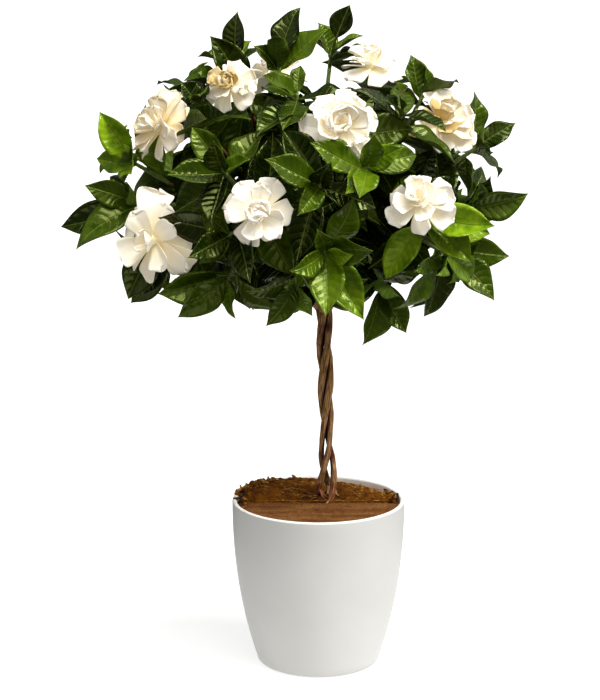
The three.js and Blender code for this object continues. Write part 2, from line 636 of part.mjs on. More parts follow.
// Each branch leaves its bough for the foot of a shoot, and stops short of it by the gap that
// its cut end needs to lie clear at the angle between the two
function branchesOf(start, knee, end, group) {
  const bough = new THREE.QuadraticBezierCurve3(start, knee, end);
  const order = [...group].sort((one, other) => start.distanceTo(one.foot) - start.distanceTo(other.foot));
  return order.map((shoot, i) => {
    const fork = bough.getPoint(0.42 + (0.56 * i) / Math.max(1, order.length - 1));
    const way = shoot.foot.clone().sub(fork).normalize();
    const lean = Math.sin(way.angleTo(shoot.grows));
    return new THREE.LineCurve3(fork, shoot.foot.clone().addScaledVector(way, -GAP - BRANCH_RADIUS * lean));
  });
}

function makeStem({ stem, boughs }) {
  const solids = [stemSolid(stem, 0)];
  for (const { path, branches } of boughs) {
    solids.push(solidOf(rod(path, BOUGH_RADIUS, 5, 3)));
    for (const branch of branches) solids.push(solidOf(rod(branch, BRANCH_RADIUS, 4, 1)));
  }
  return joined(solids);
}

function pathOutlines(path, pieces, radius) {
  return Array.from({ length: pieces }, (_, i) => {
    return rodOutline(path.getPoint(i / pieces), path.getPoint((i + 1) / pieces), radius);
  });
}

// Everything that a leaf must stay clear of, before any leaf is placed
function fixedParts(shoots, plan) {
  const found = [];
  for (const { stem, boughs } of plan) {
    const trunk = stemPath(stem);
    for (let i = 8; i < trunk.length - 1; i++) found.push(rodOutline(trunk[i], trunk[i + 1], TRUNK.stem));
    for (const { path, branches } of boughs) {
      found.push(...pathOutlines(path, 3, BOUGH_RADIUS));
      for (const branch of branches) found.push(...pathOutlines(branch, 2, BRANCH_RADIUS));
    }
  }
  const fixed = found.map((whole) => ({ whole, shoot: "branch" }));
  for (const shoot of shoots) {
    const tip = shoot.bloom ? shoot.tip.clone().addScaledVector(shoot.grows, CALYX.length) : shoot.tip;
    fixed.push({ whole: rodOutline(shoot.foot, tip, TWIG.foot), shoot: shoot.number });
    if (!shoot.bloom) continue;
    const heartFoot = tip.clone().addScaledVector(shoot.grows, 4);
    const heartTop = tip.clone().addScaledVector(shoot.grows, HEART_TOP);
    fixed.push({ whole: rodOutline(heartFoot, heartTop, 6), shoot: "bloom" });
    for (const petal of bloomPetals(shoot)) {
      fixed.push({ whole: outlineOf(bladeRings(petal, PETAL_STATIONS), 0), shoot: "bloom" });
    }
  }
  return fixed;
}

const plant = new THREE.Group();
plant.add(meshOf(makePot(), "pot", white));
plant.add(meshOf(makeSoil(), "soil", earth));
plant.add(meshOf(makeMulch(), "coir_mulch", coir));

const shoots = [...FRONT_SHOOTS, ...backShoots()].map(growShoot);
const plan = branchPlan(shoots);
for (const share of plan) plant.add(meshOf(makeStem(share), `stem_${share.stem + 1}`, bark));

const kept = fixedParts(shoots, plan);
for (const shoot of shoots) addReachingLeaves(shoot, kept);
for (const shoot of shoots) addWhorlLeaves(shoot, kept);
for (const shoot of shoots) {
  plant.add(meshOf(makeShoot(shoot, kept), `shoot_${shoot.number}`, shoot.young ? youngGreen : leafGreen));
  if (shoot.bloom) {
    const petal = shoot.bloom === "cream" ? petalCream : petalWhite;
    plant.add(meshOf(makeBloom(shoot), `bloom_${shoot.number}`, petal));
  }
}

export default plant;
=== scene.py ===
"""A gardenia trained as a small standard tree, in a plain white pot.

Three slender plants are twisted into one trunk. Their brown branches end in leafy green shoots,
and some of those shoots end in a double white bloom. Sizes are in millimetres and become metres
where a mesh is made. +Z is up, and -Y faces the viewer.
"""

import math

import bpy
import numpy as np
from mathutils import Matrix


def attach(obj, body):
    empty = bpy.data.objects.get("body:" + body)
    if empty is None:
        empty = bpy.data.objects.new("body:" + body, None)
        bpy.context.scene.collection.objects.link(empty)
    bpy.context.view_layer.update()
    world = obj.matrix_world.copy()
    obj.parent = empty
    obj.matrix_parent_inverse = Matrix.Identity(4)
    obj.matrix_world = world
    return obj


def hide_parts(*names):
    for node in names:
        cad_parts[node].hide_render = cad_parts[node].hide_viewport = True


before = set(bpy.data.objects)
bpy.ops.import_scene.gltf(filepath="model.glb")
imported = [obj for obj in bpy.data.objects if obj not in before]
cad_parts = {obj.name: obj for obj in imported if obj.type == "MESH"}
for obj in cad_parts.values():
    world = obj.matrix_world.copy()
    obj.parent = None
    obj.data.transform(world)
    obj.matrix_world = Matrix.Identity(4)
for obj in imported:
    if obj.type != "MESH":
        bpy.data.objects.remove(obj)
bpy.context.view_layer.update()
MM = 0.001

# The view. The photograph looks a little down on the pot through a long lens, so that the mouth
# of the pot shows as a flat ellipse and the crown is seen almost level.
CAMERA_PLACE = (-19, -2400, 871)
CAMERA_DIP = 12.67
CAMERA_LENS = 123.94
CAMERA_SENSOR = 36

camera = bpy.data.objects.new("camera", bpy.data.cameras.new("camera"))
camera.location = [MM * part for part in CAMERA_PLACE]
camera.rotation_euler = (math.radians(90 - CAMERA_DIP), 0, 0)
camera.data.lens = CAMERA_LENS
camera.data.sensor_width = CAMERA_SENSOR
camera.data.dof.use_dof = False
bpy.context.scene.collection.objects.link(camera)
bpy.context.scene.camera = camera

# The studio. The pot stands on a round light table, and a floor of the same matt white runs on far
# behind it. Very broad lights hang overhead, in front and on both sides, and a smaller key light on
# the right gives the glints. The far floor lights nothing, so the gaps in the crown stay dark.
FLOOR_REACH = 30000
TABLE_RADIUS = 420
TABLE_SIDES = 96
FLOOR_WHITE = "#9c9c9a"
FLOOR_GLOW = 0.76
ROOM_LIGHT = 0.22
LIGHTS = {
    "key light": {"strength": 2.8, "spread": 24, "elevation": 46, "bearing": -26},
    "top light": {"strength": 2.9, "spread": 40, "elevation": 70, "bearing": -62},
    "front light": {"strength": 0.7, "spread": 60, "elevation": 38, "bearing": -88},
    "side light": {"strength": 0.6, "spread": 60, "elevation": 30, "bearing": 15},
    "left light": {"strength": 0.3, "spread": 60, "elevation": 25, "bearing": 190},
}


def linear(code):
    """An sRGB hex colour as the linear colour that a shader takes."""
    shares = np.array([int(code[i : i + 2], 16) for i in (1, 3, 5)]) / 255
    lit = np.where(shares <= 0.04045, shares / 12.92, ((shares + 0.055) / 1.055) ** 2.4)
    return (*lit.tolist(), 1.0)


def new_material(name):
    """A named material with nothing in its node tree yet."""
    material = bpy.data.materials.new(name)
    material.use_nodes = True
    material.node_tree.nodes.clear()
    return material


def add_node(material, kind, inputs, stops=(), **settings):
    """Adds a shader node. An input is a number, a colour, or the socket or node that feeds it, a
    node through the first output that it has in use. Stops are the places and hex colours of a
    colour ramp."""
    node = material.node_tree.nodes.new("ShaderNode" + kind)
    for name, value in settings.items():
        setattr(node, name, value)
    for name, value in inputs.items():
        if isinstance(value, bpy.types.Node):
            value = next(socket for socket in value.outputs if socket.enabled)
        if isinstance(value, bpy.types.NodeSocket):
            material.node_tree.links.new(value, node.inputs[name])
        else:
            node.inputs[name].default_value = value
    for i, (place, code) in enumerate(stops):
        stop = node.color_ramp.elements[i] if i < 2 else node.color_ramp.elements.new(place)
        stop.position = place
        stop.color = linear(code)
    return node


light_table = new_material("matt white light table")
shader = add_node(light_table, "BsdfPrincipled", {
    "Base Color": linear(FLOOR_WHITE), "Roughness": 0.9, "Specular IOR Level": 0.1,
    "Emission Color": (1, 1, 1, 1), "Emission Strength": FLOOR_GLOW,
})
add_node(light_table, "OutputMaterial", {"Surface": shader})


def bearings(count):
    """Bearings spread evenly round a circle."""
    return np.linspace(0, 2 * np.pi, count, endpoint=False)


def level_ways(bearing):
    """The level direction at each bearing: its cosine and its sine."""
    return np.stack([np.cos(bearing), np.sin(bearing)], axis=-1)


square = FLOOR_REACH * np.array([[-1, -1], [1, -1], [1, 1], [-1, 1]])
circle = TABLE_RADIUS * level_ways(bearings(TABLE_SIDES))
for name, outline, level in [("floor", square, -1), ("light_table", circle, 0)]:
    mesh = bpy.data.meshes.new(name)
    corners = np.column_stack([outline, np.full(len(outline), level)]) * MM
    mesh.from_pydata(corners.tolist(), [], [tuple(range(len(outline)))])
    mesh.materials.append(light_table)
    ground = bpy.data.objects.new(name, mesh)
    bpy.context.scene.collection.objects.link(ground)
    ground.visible_diffuse = ground.visible_glossy = name == "light_table"

room = bpy.data.worlds.new("room")
room.use_nodes = True
room.node_tree.nodes["Background"].inputs["Color"].default_value = (1, 1, 1, 1)
room.node_tree.nodes["Background"].inputs["Strength"].default_value = ROOM_LIGHT
bpy.context.scene.world = room
bpy.context.scene.view_settings.view_transform = "Standard"

for name, light in LIGHTS.items():
    sun = bpy.data.objects.new(name, bpy.data.lights.new(name, "SUN"))
    sun.data.energy = light["strength"]
    sun.data.angle = math.radians(light["spread"])
    turn = math.radians(light["bearing"] + 90)
    sun.rotation_euler = (math.radians(90 - light["elevation"]), 0, turn)
    bpy.context.scene.collection.objects.link(sun)

# The pot: moulded polypropylene in a satin white, one wall that tucks in to a rounded foot, with
# a thin soft rim and a flat underside. It simply stands on the floor.
POT_HEIGHT = 174
POT_RIM_RADIUS = 89
POT_BASE_RADIUS = 62
POT_CURVE = 2.2
POT_WALL = 4.5
POT_FLOOR = 6
POT_UNDERSIDE = 30
POT_FOOT_ROUND = 8
POT_FOOT_SWEEP = 56
POT_WALL_FOOT = 9.5
POT_INNER_FOOT = 16
POT_INNER_BEVEL = 6
POT_LIP = 1.9
POT_SIDES = 192
POT_WHITE = "#c0bfbb"
# A brighter white, painted on the lip as a highlight and on the upper inside wall as light
PAINTED_LIGHT_WHITE = "#f6f1e8"


def pot_radius(height):
    """The pot's outside radius: it narrows from the rim as a power of the depth below it."""
    depth = 1 - height / POT_HEIGHT
    return POT_RIM_RADIUS - (POT_RIM_RADIUS - POT_BASE_RADIUS) * depth**POT_CURVE


def closed_tubes(rings):
    """Closed bodies from an array (bodies, rings, corners, channels), whose first three channels
    are a place. Neighbouring rings are joined by four-sided faces, and a fan round the middle of
    the first and of the last ring shuts the ends. The volume's sign tells whether the faces point
    outwards, and if not they are turned round."""
    bodies, count, corners, channels = rings.shape
    ends = rings[:, [0, -1]].mean(axis=2)
    points = np.concatenate([rings.reshape(bodies, count * corners, channels), ends], axis=1)
    number = np.arange(count * corners).reshape(count, corners)
    ahead = np.roll(number, -1, axis=1)
    quads = np.stack([number[:-1], number[1:], ahead[1:], ahead[:-1]], axis=-1).reshape(-1, 4)
    foot, top = np.full(corners, count * corners), np.full(corners, count * corners + 1)
    fans = [np.stack([foot, number[0], ahead[0]], -1), np.stack([top, ahead[-1], number[-1]], -1)]
    fans = np.concatenate(fans)
    halves = np.concatenate([quads[:, :3], quads[:, [0, 2, 3]], fans])
    one, two, three = (points[0, halves[:, i], :3] for i in range(3))
    volume = np.einsum("ij,ij->", one, np.cross(two, three))
    if volume < 0:
        quads, fans = quads[:, ::-1], fans[:, ::-1]
    shift = (np.arange(bodies) * (count * corners + 2))[:, None, None]
    return {
        "points": points.reshape(-1, channels),
        "quads": (quads + shift).reshape(-1, 4),
        "fans": (fans + shift).reshape(-1, 3),
    }


def joined(shapes):
    """Several shapes as one. Each face remembers which of the shapes it came from."""
    shift = np.cumsum([0] + [len(shape["points"]) for shape in shapes[:-1]])
    sizes = [[len(shape[key]) for shape in shapes] for key in ("quads", "fans")]
    return {
        "points": np.concatenate([shape["points"] for shape in shapes]),
        "quads": np.concatenate([shape["quads"] + step for shape, step in zip(shapes, shift)]),
        "fans": np.concatenate([shape["fans"] + step for shape, step in zip(shapes, shift)]),
        "origin": [np.repeat(range(len(shapes)), size) for size in sizes],
    }


def add_piece(name, shape, finishes, marks=(), nodes=()):
    """A Blender object from a shape. Its channels after the first three go by threes into the
    named marks, finishes are its materials, one for each joined shape, or one for them all."""
    mesh = bpy.data.meshes.new(name)
    quads, fans = shape["quads"], shape["fans"]
    starts = np.concatenate([4 * np.arange(len(quads)), 4 * len(quads) + 3 * np.arange(len(fans))])
    mesh.vertices.add(len(shape["points"]))
    mesh.vertices.foreach_set("co", (shape["points"][:, :3] * MM).astype(np.float32).ravel())
    mesh.loops.add(quads.size + fans.size)
    mesh.loops.foreach_set("vertex_index", np.concatenate([quads.ravel(), fans.ravel()]).astype(np.int32))
    mesh.polygons.add(len(starts))
    mesh.polygons.foreach_set("loop_start", starts.astype(np.int32))
    mesh.polygons.foreach_set("use_smooth", np.ones(len(starts), dtype=bool))
    for finish in finishes:
        mesh.materials.append(finish)
    if len(finishes) > 1:
        mesh.polygons.foreach_set("material_index", np.concatenate(shape["origin"]).astype(np.int32))
    for i, mark in enumerate(marks):
        values = shape["points"][:, 3 + 3 * i : 6 + 3 * i].astype(np.float32)
        mesh.attributes.new(mark, "FLOAT_VECTOR", "POINT").data.foreach_set("vector", values.ravel())
    mesh.update(calc_edges=True)
    piece = bpy.data.objects.new(name, mesh)
    bpy.context.scene.collection.objects.link(piece)
    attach(piece, "root")
    if nodes:
        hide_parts(*nodes)
    return piece


def turned(radii, heights, sides):
    """A profile turned once round the vertical axis: every ring is a circle at its own height."""
    across = np.array(radii)[:, None, None] * level_ways(bearings(sides))
    upward = np.broadcast_to(np.array(heights)[:, None, None], (len(heights), sides, 1))
    return closed_tubes(np.concatenate([across, upward], axis=-1)[None])


# An outline of arcs and one power curve: flat underside, foot, wall, rim, mouth and floor
foot_turn = np.linspace(0, math.radians(POT_FOOT_SWEEP), 9)
foot_radii = pot_radius(POT_FOOT_ROUND) - POT_FOOT_ROUND + POT_FOOT_ROUND * np.sin(foot_turn)
foot_heights = POT_FOOT_ROUND * (1 - np.cos(foot_turn))
wall_heights = np.linspace(POT_WALL_FOOT, POT_HEIGHT - POT_LIP, 40)
lip_turn = np.linspace(0, np.pi, 13)[1:-1]
lip_radii = POT_RIM_RADIUS - POT_WALL / 2 + POT_WALL / 2 * np.cos(lip_turn)
lip_heights = POT_HEIGHT - POT_LIP + POT_LIP * np.sin(lip_turn)
inner_heights = np.linspace(POT_HEIGHT - POT_LIP, POT_INNER_FOOT, 20)
inner_radii = pot_radius(inner_heights) - POT_WALL
pot_radii = [1, POT_UNDERSIDE, *foot_radii, *pot_radius(wall_heights), *lip_radii, *inner_radii]
pot_heights = [0, 0, *foot_heights, *wall_heights, *lip_heights, *inner_heights]
pot_radii += [pot_radius(POT_FLOOR) - POT_WALL - POT_INNER_BEVEL, 1]
pot_heights += [POT_FLOOR, POT_FLOOR]

# Moulded polypropylene: satin, with a faint cloudiness and the very slight ripple of a moulding,
# so that its highlight is broad and soft-edged. The lip and the upper inside wall are painted a
# brighter white: a painted highlight along the lip and painted light on the shaded inner wall.
satin_plastic = new_material("moulded satin polypropylene")
place = add_node(satin_plastic, "TexCoord", {}).outputs["Object"]
cloud = add_node(satin_plastic, "TexNoise", {"Vector": place, "Scale": 1 / (60 * MM), "Detail": 3.0})
grain = add_node(satin_plastic, "TexNoise", {"Vector": place, "Scale": 1 / (1.2 * MM), "Detail": 2.0})
tone = add_node(satin_plastic, "ValToRGB", {"Fac": cloud}, stops=[(0.3, "#bbbab6"), (0.7, POT_WHITE)])
level = add_node(satin_plastic, "SeparateXYZ", {"Vector": place}).outputs["Z"]
near_rim = add_node(satin_plastic, "MapRange", {
    "Value": level, "From Min": (POT_HEIGHT - 1.6) * MM, "From Max": (POT_HEIGHT - 0.7) * MM,
})
level_place = add_node(satin_plastic, "VectorMath", {0: place, 1: (1, 1, 0)}, operation="MULTIPLY")
from_axis = add_node(satin_plastic, "VectorMath", {0: level_place}, operation="LENGTH")
wall_middle = (POT_RIM_RADIUS - POT_WALL / 2) * MM
inside = add_node(satin_plastic, "MapRange", {
    "Value": from_axis, "From Min": wall_middle, "From Max": wall_middle - 1 * MM,
})
high = add_node(satin_plastic, "Math", {0: level, 1: 0.9 * POT_HEIGHT * MM}, operation="GREATER_THAN")
high_inside = add_node(satin_plastic, "Math", {0: inside, 1: high}, operation="MULTIPLY")
# Painted highlight on the lip and painted light on the shaded upper inside wall: both take the brighter white
painted_light_mask = add_node(satin_plastic, "Math", {0: near_rim, 1: high_inside}, operation="MAXIMUM")
with_painted_light = add_node(satin_plastic, "Mix", {0: painted_light_mask, 6: tone, 7: linear(PAINTED_LIGHT_WHITE)}, data_type="RGBA")
rough = add_node(satin_plastic, "MapRange", {"Value": cloud, "To Min": 0.42, "To Max": 0.5})
relief = add_node(satin_plastic, "Bump", {"Height": grain, "Strength": 0.25, "Distance": 0.05 * MM})
shader = add_node(satin_plastic, "BsdfPrincipled", {
    "Base Color": with_painted_light, "Roughness": rough, "Normal": relief, "IOR": 1.49,
})
add_node(satin_plastic, "OutputMaterial", {"Surface": shader})
white_pot = turned(pot_radii, pot_heights, POT_SIDES)
add_piece("white_pot", white_pot, [satin_plastic], nodes=["pot"])

# The soil: the peaty root ball that fills the pot to just under its rim, pressed almost flat and
# finely crumbled on top.
SOIL_LEVEL = 168
SOIL_GAP = 1.2
SOIL_CRUMB = 0.4
WAVES = 7
WAVES_SUM = 3.2
SOIL_RINGS = 90
SOIL_SIDES = 240
ROOT_BALL_LEVELS = [120, 60, 8]
ROOT_BALL_GAP = 7
# Size and seed of the grains, the lumps and the broad swells
SOIL_RELIEF = ((3.1, 4), (7.5, 5), (24, 6))


def ripples(points, size, seed):
    """Soft irregular relief from about -1 to 1: a few sine waves about as long as size, crossing
    in seeded directions, added up and divided by their usual greatest sum."""
    rng = np.random.default_rng(seed)
    ways = rng.normal(size=(WAVES, points.shape[-1]))
    lengths = size * rng.uniform(0.7, 1.5, (WAVES, 1)) * np.linalg.norm(ways, axis=1, keepdims=True)
    phases = rng.uniform(0, 2 * np.pi, WAVES)
    return np.sin(points @ (2 * np.pi * ways / lengths).T + phases).sum(-1) / WAVES_SUM


soil_reach = pot_radius(SOIL_LEVEL) - POT_WALL - SOIL_GAP
ball_radii = pot_radius(np.array(ROOT_BALL_LEVELS)) - POT_WALL - ROOT_BALL_GAP
soil_radii = np.concatenate([np.linspace(0.8, soil_reach, SOIL_RINGS), ball_radii, [1]])
soil_heights = np.concatenate([np.full(SOIL_RINGS, SOIL_LEVEL), ROOT_BALL_LEVELS, ROOT_BALL_LEVELS[-1:]])
soil = turned(soil_radii, soil_heights, SOIL_SIDES)
grains, lumps, swells = (ripples(soil["points"], *relief) for relief in SOIL_RELIEF)
on_top = soil["points"][:, 2] > SOIL_LEVEL - 1
soil["points"][:, 2] += on_top * SOIL_CRUMB * (grains + 0.8 * lumps + swells - 1)

# Peat compost: matt and crumbly, mid brown where it is dry with darker damp grains, in faint
# streaks from side to side where it was smoothed over.
peat = new_material("sieved peat compost")
place = add_node(peat, "TexCoord", {}).outputs["Object"]
raked = add_node(peat, "Mapping", {"Vector": place, "Scale": (0.2, 1, 1)})
patch = add_node(peat, "TexNoise", {"Vector": raked, "Scale": 1 / (9 * MM), "Detail": 5.0})
crumb = add_node(peat, "TexNoise", {
    "Vector": place, "Scale": 1 / (2.2 * MM), "Detail": 6.0, "Roughness": 0.7,
})
dry = add_node(peat, "ValToRGB", {"Fac": crumb}, stops=[
    (0.3, "#563415"), (0.68, "#8c6237"), (0.48, "#754e27"),
])
damp = add_node(peat, "ValToRGB", {"Fac": patch}, stops=[(0.38, "#cdb79f"), (0.62, "#ffffff")])
tone = add_node(peat, "Mix", {0: 1.0, 6: dry, 7: damp}, data_type="RGBA", blend_type="MULTIPLY")
relief = add_node(peat, "Bump", {"Height": crumb, "Strength": 0.9, "Distance": 1.0 * MM})
shader = add_node(peat, "BsdfPrincipled", {
    "Base Color": tone, "Roughness": 0.95, "Normal": relief, "Specular IOR Level": 0.1,
})
add_node(peat, "OutputMaterial", {"Surface": shader})
add_piece("soil", soil, [peat], nodes=["soil"])

# The mulch: coir pith and chips spread round the trunk and over the back of the soil, with a
# straight front edge. At the back left it is heaped over the rim in ragged crumbs and scraps.
MULCH = {"middle": 42, "front": 7, "depth": 3.6, "fall": 0.026, "heap": 3.4, "corner": 4, "sunk": 1.5}
MULCH_CENTRE = np.array([0.0, MULCH["middle"]])
BED_LEVEL = SOIL_LEVEL + 0.3
BED_SIDES = 200
BED_RINGS = 46
MULCH_CHIPS = 460
MULCH_FIBRES = 70
EDGE_FIBRES = 34
RIM_CRUMBS = 190
RIGHT_CRUMBS = 44
SCRAP_BEARINGS = (186, 176, 165, 152, 139, 124, 20, 9, 31)
# Mean and spread of the bearings of the heaped crumbs, at the back left and at the right
HEAP_BEARINGS = (146, 18)
RIGHT_BEARINGS = (15, 8)
# Least and greatest length, width, thickness and bow of a chip, a crumb and a scrap
CHIP_SIZES = (1.8, 1, 0.6, -0.4), (6, 3.2, 1.6, 0.8)
CRUMB_SIZES = (2.5, 1.6, 1.2, -0.5), (7.5, 4.5, 3.2, 1.5)
SCRAP_SIZES = (4.5, 1.6, 0.8, -1), (12, 4.2, 1.5, 2.2)
FIBRE_LENGTHS = (5, 15)
FIBRE_RADII = (0.22, 0.42)
EDGE_REACH = 74


def mulch_edge(bearing):
    """Distance from the mulch's middle to its edge: the pot's wall, or the straight front line."""
    way = level_ways(bearing)
    ahead = way @ MULCH_CENTRE
    wall = -ahead + np.sqrt(ahead**2 + (soil_reach - 2) ** 2 - MULCH_CENTRE @ MULCH_CENTRE)
    front = MULCH["middle"] - MULCH["front"] + 0.5 * np.sin(9 * bearing)
    front = front / np.maximum(-way[..., 1], 1e-3)
    return np.where(way[..., 1] < 0, np.minimum(wall, front), wall)


def mulch_height(places):
    """Height of the bed above the soil: broad waves and small lumps, thin along the front edge,
    falling to the right, and heaped up at the back left and at the front right corner."""
    x, y = places[..., 0], places[..., 1]
    behind = np.clip((y - MULCH["front"]) / 16, 0, 1)
    waves = 0.35 * np.sin(0.31 * x + 1.3) * np.cos(0.37 * y) + 0.5 * ripples(places, 9, 11)
    corner = np.clip((x - 45) / 30, 0, 1) * np.clip((45 - y) / 30, 0, 1)
    heap = MULCH["heap"] * np.clip((y - x - 40) / 60, 0, 1) + MULCH["corner"] * corner
    depth = 0.9 + (MULCH["depth"] - 1.6) * behind - MULCH["fall"] * x * behind
    return depth + heap + waves * (0.3 + 0.7 * behind) + 0.35 * ripples(places, 2.8, 12)


def mulch_tone(places):
    """How pale the coir is: straw-coloured at the back right, and darker round the trunk's foot."""
    x, y = places[..., 0], places[..., 1]
    straw = 0.3 * np.clip((x + 0.8 * y - 66) / 40, 0, 1)
    return straw - 0.4 * np.exp(-(((x - 4) / 22) ** 2) - ((y - 20) / 15) ** 2)


bearing = bearings(BED_SIDES)
share = np.concatenate([np.linspace(0.01, 1, BED_RINGS), [1, 0.01]])[:, None]
places = level_ways(bearing) * (share * mulch_edge(bearing))[..., None] + MULCH_CENTRE
edge_fall = np.clip((1 - share) / 0.06, 0.25, 1)
tops = BED_LEVEL + np.maximum(mulch_height(places) * edge_fall, 0.5)
tops[-2:] = SOIL_LEVEL - MULCH["sunk"]
bed_marks = np.stack([0.16 + mulch_tone(places), 0 * tops, 0 * tops], axis=-1)
mulch_bed = closed_tubes(np.concatenate([places, tops[..., None], bed_marks], axis=-1)[None])


def flakes(centres, sizes, turns, tilts, marks):
    """Small bent flakes, each a closed body of four rings of six corners. A flake is long, wide
    and thick, bows along its length, and is turned about the vertical and tilted."""
    along = np.linspace(-0.5, 0.5, 4)[None, :, None]
    angle = bearings(6)[None, None, :]
    length, width, thick, bow = (sizes[:, i, None, None] for i in range(4))
    taper = 1 - 1.2 * along**2
    x = length * along + 0 * angle
    y = 0.5 * width * taper * np.cos(angle)
    z = 0.5 * thick * taper * np.sin(angle) + bow * (0.25 - along**2)
    tilt, turn = tilts[:, None, None], turns[:, None, None]
    x, z = x * np.cos(tilt) - z * np.sin(tilt), x * np.sin(tilt) + z * np.cos(tilt)
    x, y = x * np.cos(turn) - y * np.sin(turn), x * np.sin(turn) + y * np.cos(turn)
    place = np.stack([x, y, z], axis=-1) + centres[:, None, None]
    marks = np.broadcast_to(marks[:, None, None], place.shape)
    return closed_tubes(np.concatenate([place, marks], axis=-1))


def strewn(count, reach, seed):
    """Seeded places on the mulch, spread evenly over its area, with the bed's height there, and
    the generator for the draws that follow."""
    rng = np.random.default_rng(seed)
    bearing = rng.uniform(0, 2 * np.pi, 3 * count)
    edge = mulch_edge(bearing)
    chosen = rng.uniform(0, soil_reach**2, 3 * count) < edge**2 * 0.6
    bearing, edge = bearing[chosen][:count], edge[chosen][:count]
    share = reach * np.sqrt(rng.uniform(0, 1, len(bearing)))
    places = level_ways(bearing) * (share * edge)[:, None] + MULCH_CENTRE
    return np.column_stack([places, BED_LEVEL + mulch_height(places)]), rng


chip_places, rng = strewn(MULCH_CHIPS, 0.985, 21)
count = len(chip_places)
chip_sizes = rng.uniform(*CHIP_SIZES, (count, 4))
chip_marks = rng.uniform((-0.08, 0, 0), (0.56, 1, 1), (count, 3))
chip_marks[:, 0] += mulch_tone(chip_places)
chip_places[:, 2] -= 0.3
chip_turns = rng.uniform(0, 2 * np.pi, count)
chips = flakes(chip_places, chip_sizes, chip_turns, rng.normal(0, 0.3, count), chip_marks)

# Crumbs heaped on the mulch against the wall at the back left, and over the rim there. A few lie
# against the wall at the right.
crumb_turn = np.radians(rng.normal(*HEAP_BEARINGS, RIM_CRUMBS))
crumb_reach = rng.uniform(POT_RIM_RADIUS - 15, POT_RIM_RADIUS - 0.5, RIM_CRUMBS)
crumb_turn[:RIGHT_CRUMBS] = np.radians(rng.normal(*RIGHT_BEARINGS, RIGHT_CRUMBS))
crumb_reach[:RIGHT_CRUMBS] = rng.uniform(soil_reach - 10, soil_reach - 2, RIGHT_CRUMBS)
crumb_places = crumb_reach[:, None] * level_ways(crumb_turn)
over_rim = crumb_reach > POT_RIM_RADIUS - POT_WALL - 1
crumb_level = np.where(over_rim, POT_HEIGHT + 0.6, BED_LEVEL + mulch_height(crumb_places))
crumb_level += rng.uniform(0, 2.6, RIM_CRUMBS) * np.exp(-(((crumb_turn - 2.5) / 0.3) ** 2))
crumb_sizes = rng.uniform(*CRUMB_SIZES, (RIM_CRUMBS, 4))
crumb_marks = rng.uniform(0, (0.6, 1, 1), (RIM_CRUMBS, 3))
crumb_places = np.column_stack([crumb_places, crumb_level])
crumb_turns = rng.uniform(0, 2 * np.pi, RIM_CRUMBS)
crumbs = flakes(crumb_places, crumb_sizes, crumb_turns, rng.normal(0, 0.45, RIM_CRUMBS), crumb_marks)

scrap_turn = np.radians(np.repeat(SCRAP_BEARINGS, 2) + rng.normal(0, 2.2, 2 * len(SCRAP_BEARINGS)))
scrap_count = len(scrap_turn)
scrap_reach = POT_RIM_RADIUS - POT_WALL - rng.uniform(1.5, 5, scrap_count)
scrap_places = scrap_reach[:, None] * level_ways(scrap_turn)
scrap_level = SOIL_LEVEL + 1.2 + mulch_height(scrap_places)
scrap_level[scrap_places[:, 0] < 0] = POT_HEIGHT + 0.8
scrap_places = np.column_stack([scrap_places, scrap_level])
scrap_sizes = rng.uniform(*SCRAP_SIZES, (scrap_count, 4))
scrap_marks = np.tile([0.3, 0.5, -1.0], (scrap_count, 1))
scrap_tilts = rng.uniform(-0.3, 0.45, scrap_count)
scrap_turns = scrap_turn + 1.2 + rng.normal(0, 0.5, scrap_count)
scraps = flakes(scrap_places, scrap_sizes, scrap_turns, scrap_tilts, scrap_marks)


def limbs(paths, radii, corners):
    """Round limbs along paths, an array (limbs, steps, 3), with a radius at each step. The mark
    of each corner is its place round the limb and its distance along it, for bark and fibre."""
    tangent = np.gradient(paths, axis=1)
    tangent /= np.linalg.norm(tangent, axis=-1, keepdims=True)
    course = paths[:, -1] - paths[:, 0]
    steep = np.abs(course[:, 2]) > 0.8 * np.linalg.norm(course, axis=-1)
    level = np.where(steep[:, None], [1.0, 0.0, 0.0], [0.0, 0.0, 1.0])[:, None]
    first = np.cross(tangent, level)
    first /= np.linalg.norm(first, axis=-1, keepdims=True)
    second = np.cross(tangent, first)
    angle = bearings(corners)
    across, upward = radii[..., None] * np.cos(angle), radii[..., None] * np.sin(angle)
    place = paths[:, :, None] + first[:, :, None] * across[..., None]
    place = place + second[:, :, None] * upward[..., None]
    run = np.linalg.norm(np.diff(paths, axis=1, prepend=paths[:, :1]), axis=-1).cumsum(axis=1)
    mark = np.stack([across, upward, np.broadcast_to(run[..., None], across.shape)], axis=-1)
    return np.concatenate([place, mark], axis=-1)


# Loose fibres, and a row of paler ones combed along the straight front edge
fibre_places, rng = strewn(MULCH_FIBRES, 0.97, 22)
edge_x = np.linspace(-EDGE_REACH, EDGE_REACH, EDGE_FIBRES) + rng.normal(0, 3, EDGE_FIBRES)
edge_places = np.column_stack([edge_x, MULCH["front"] + rng.normal(0, 0.5, EDGE_FIBRES)])
edge_places = np.column_stack([edge_places, np.full(EDGE_FIBRES, SOIL_LEVEL + 0.2)])
loose = len(fibre_places)
fibre_places = np.concatenate([fibre_places, edge_places])
count = len(fibre_places)
fibre_lengths = rng.uniform(*FIBRE_LENGTHS, count)
fibre_turns = rng.uniform(0, 2 * np.pi, count)
fibre_turns[loose:] = rng.normal(0, 0.12, EDGE_FIBRES)
step = np.linspace(-0.5, 0.5, 9)
fibre_way = np.stack([np.cos(fibre_turns), np.sin(fibre_turns), rng.normal(0, 0.12, count)], axis=-1)
fibre_side = np.stack([-np.sin(fibre_turns), np.cos(fibre_turns), rng.normal(0, 0.2, count)], axis=-1)
sway = rng.uniform(-0.3, 0.3, (count, 1)) * (step**2 - 0.1) + 0.05 * np.sin(9 * step + fibre_turns[:, None])
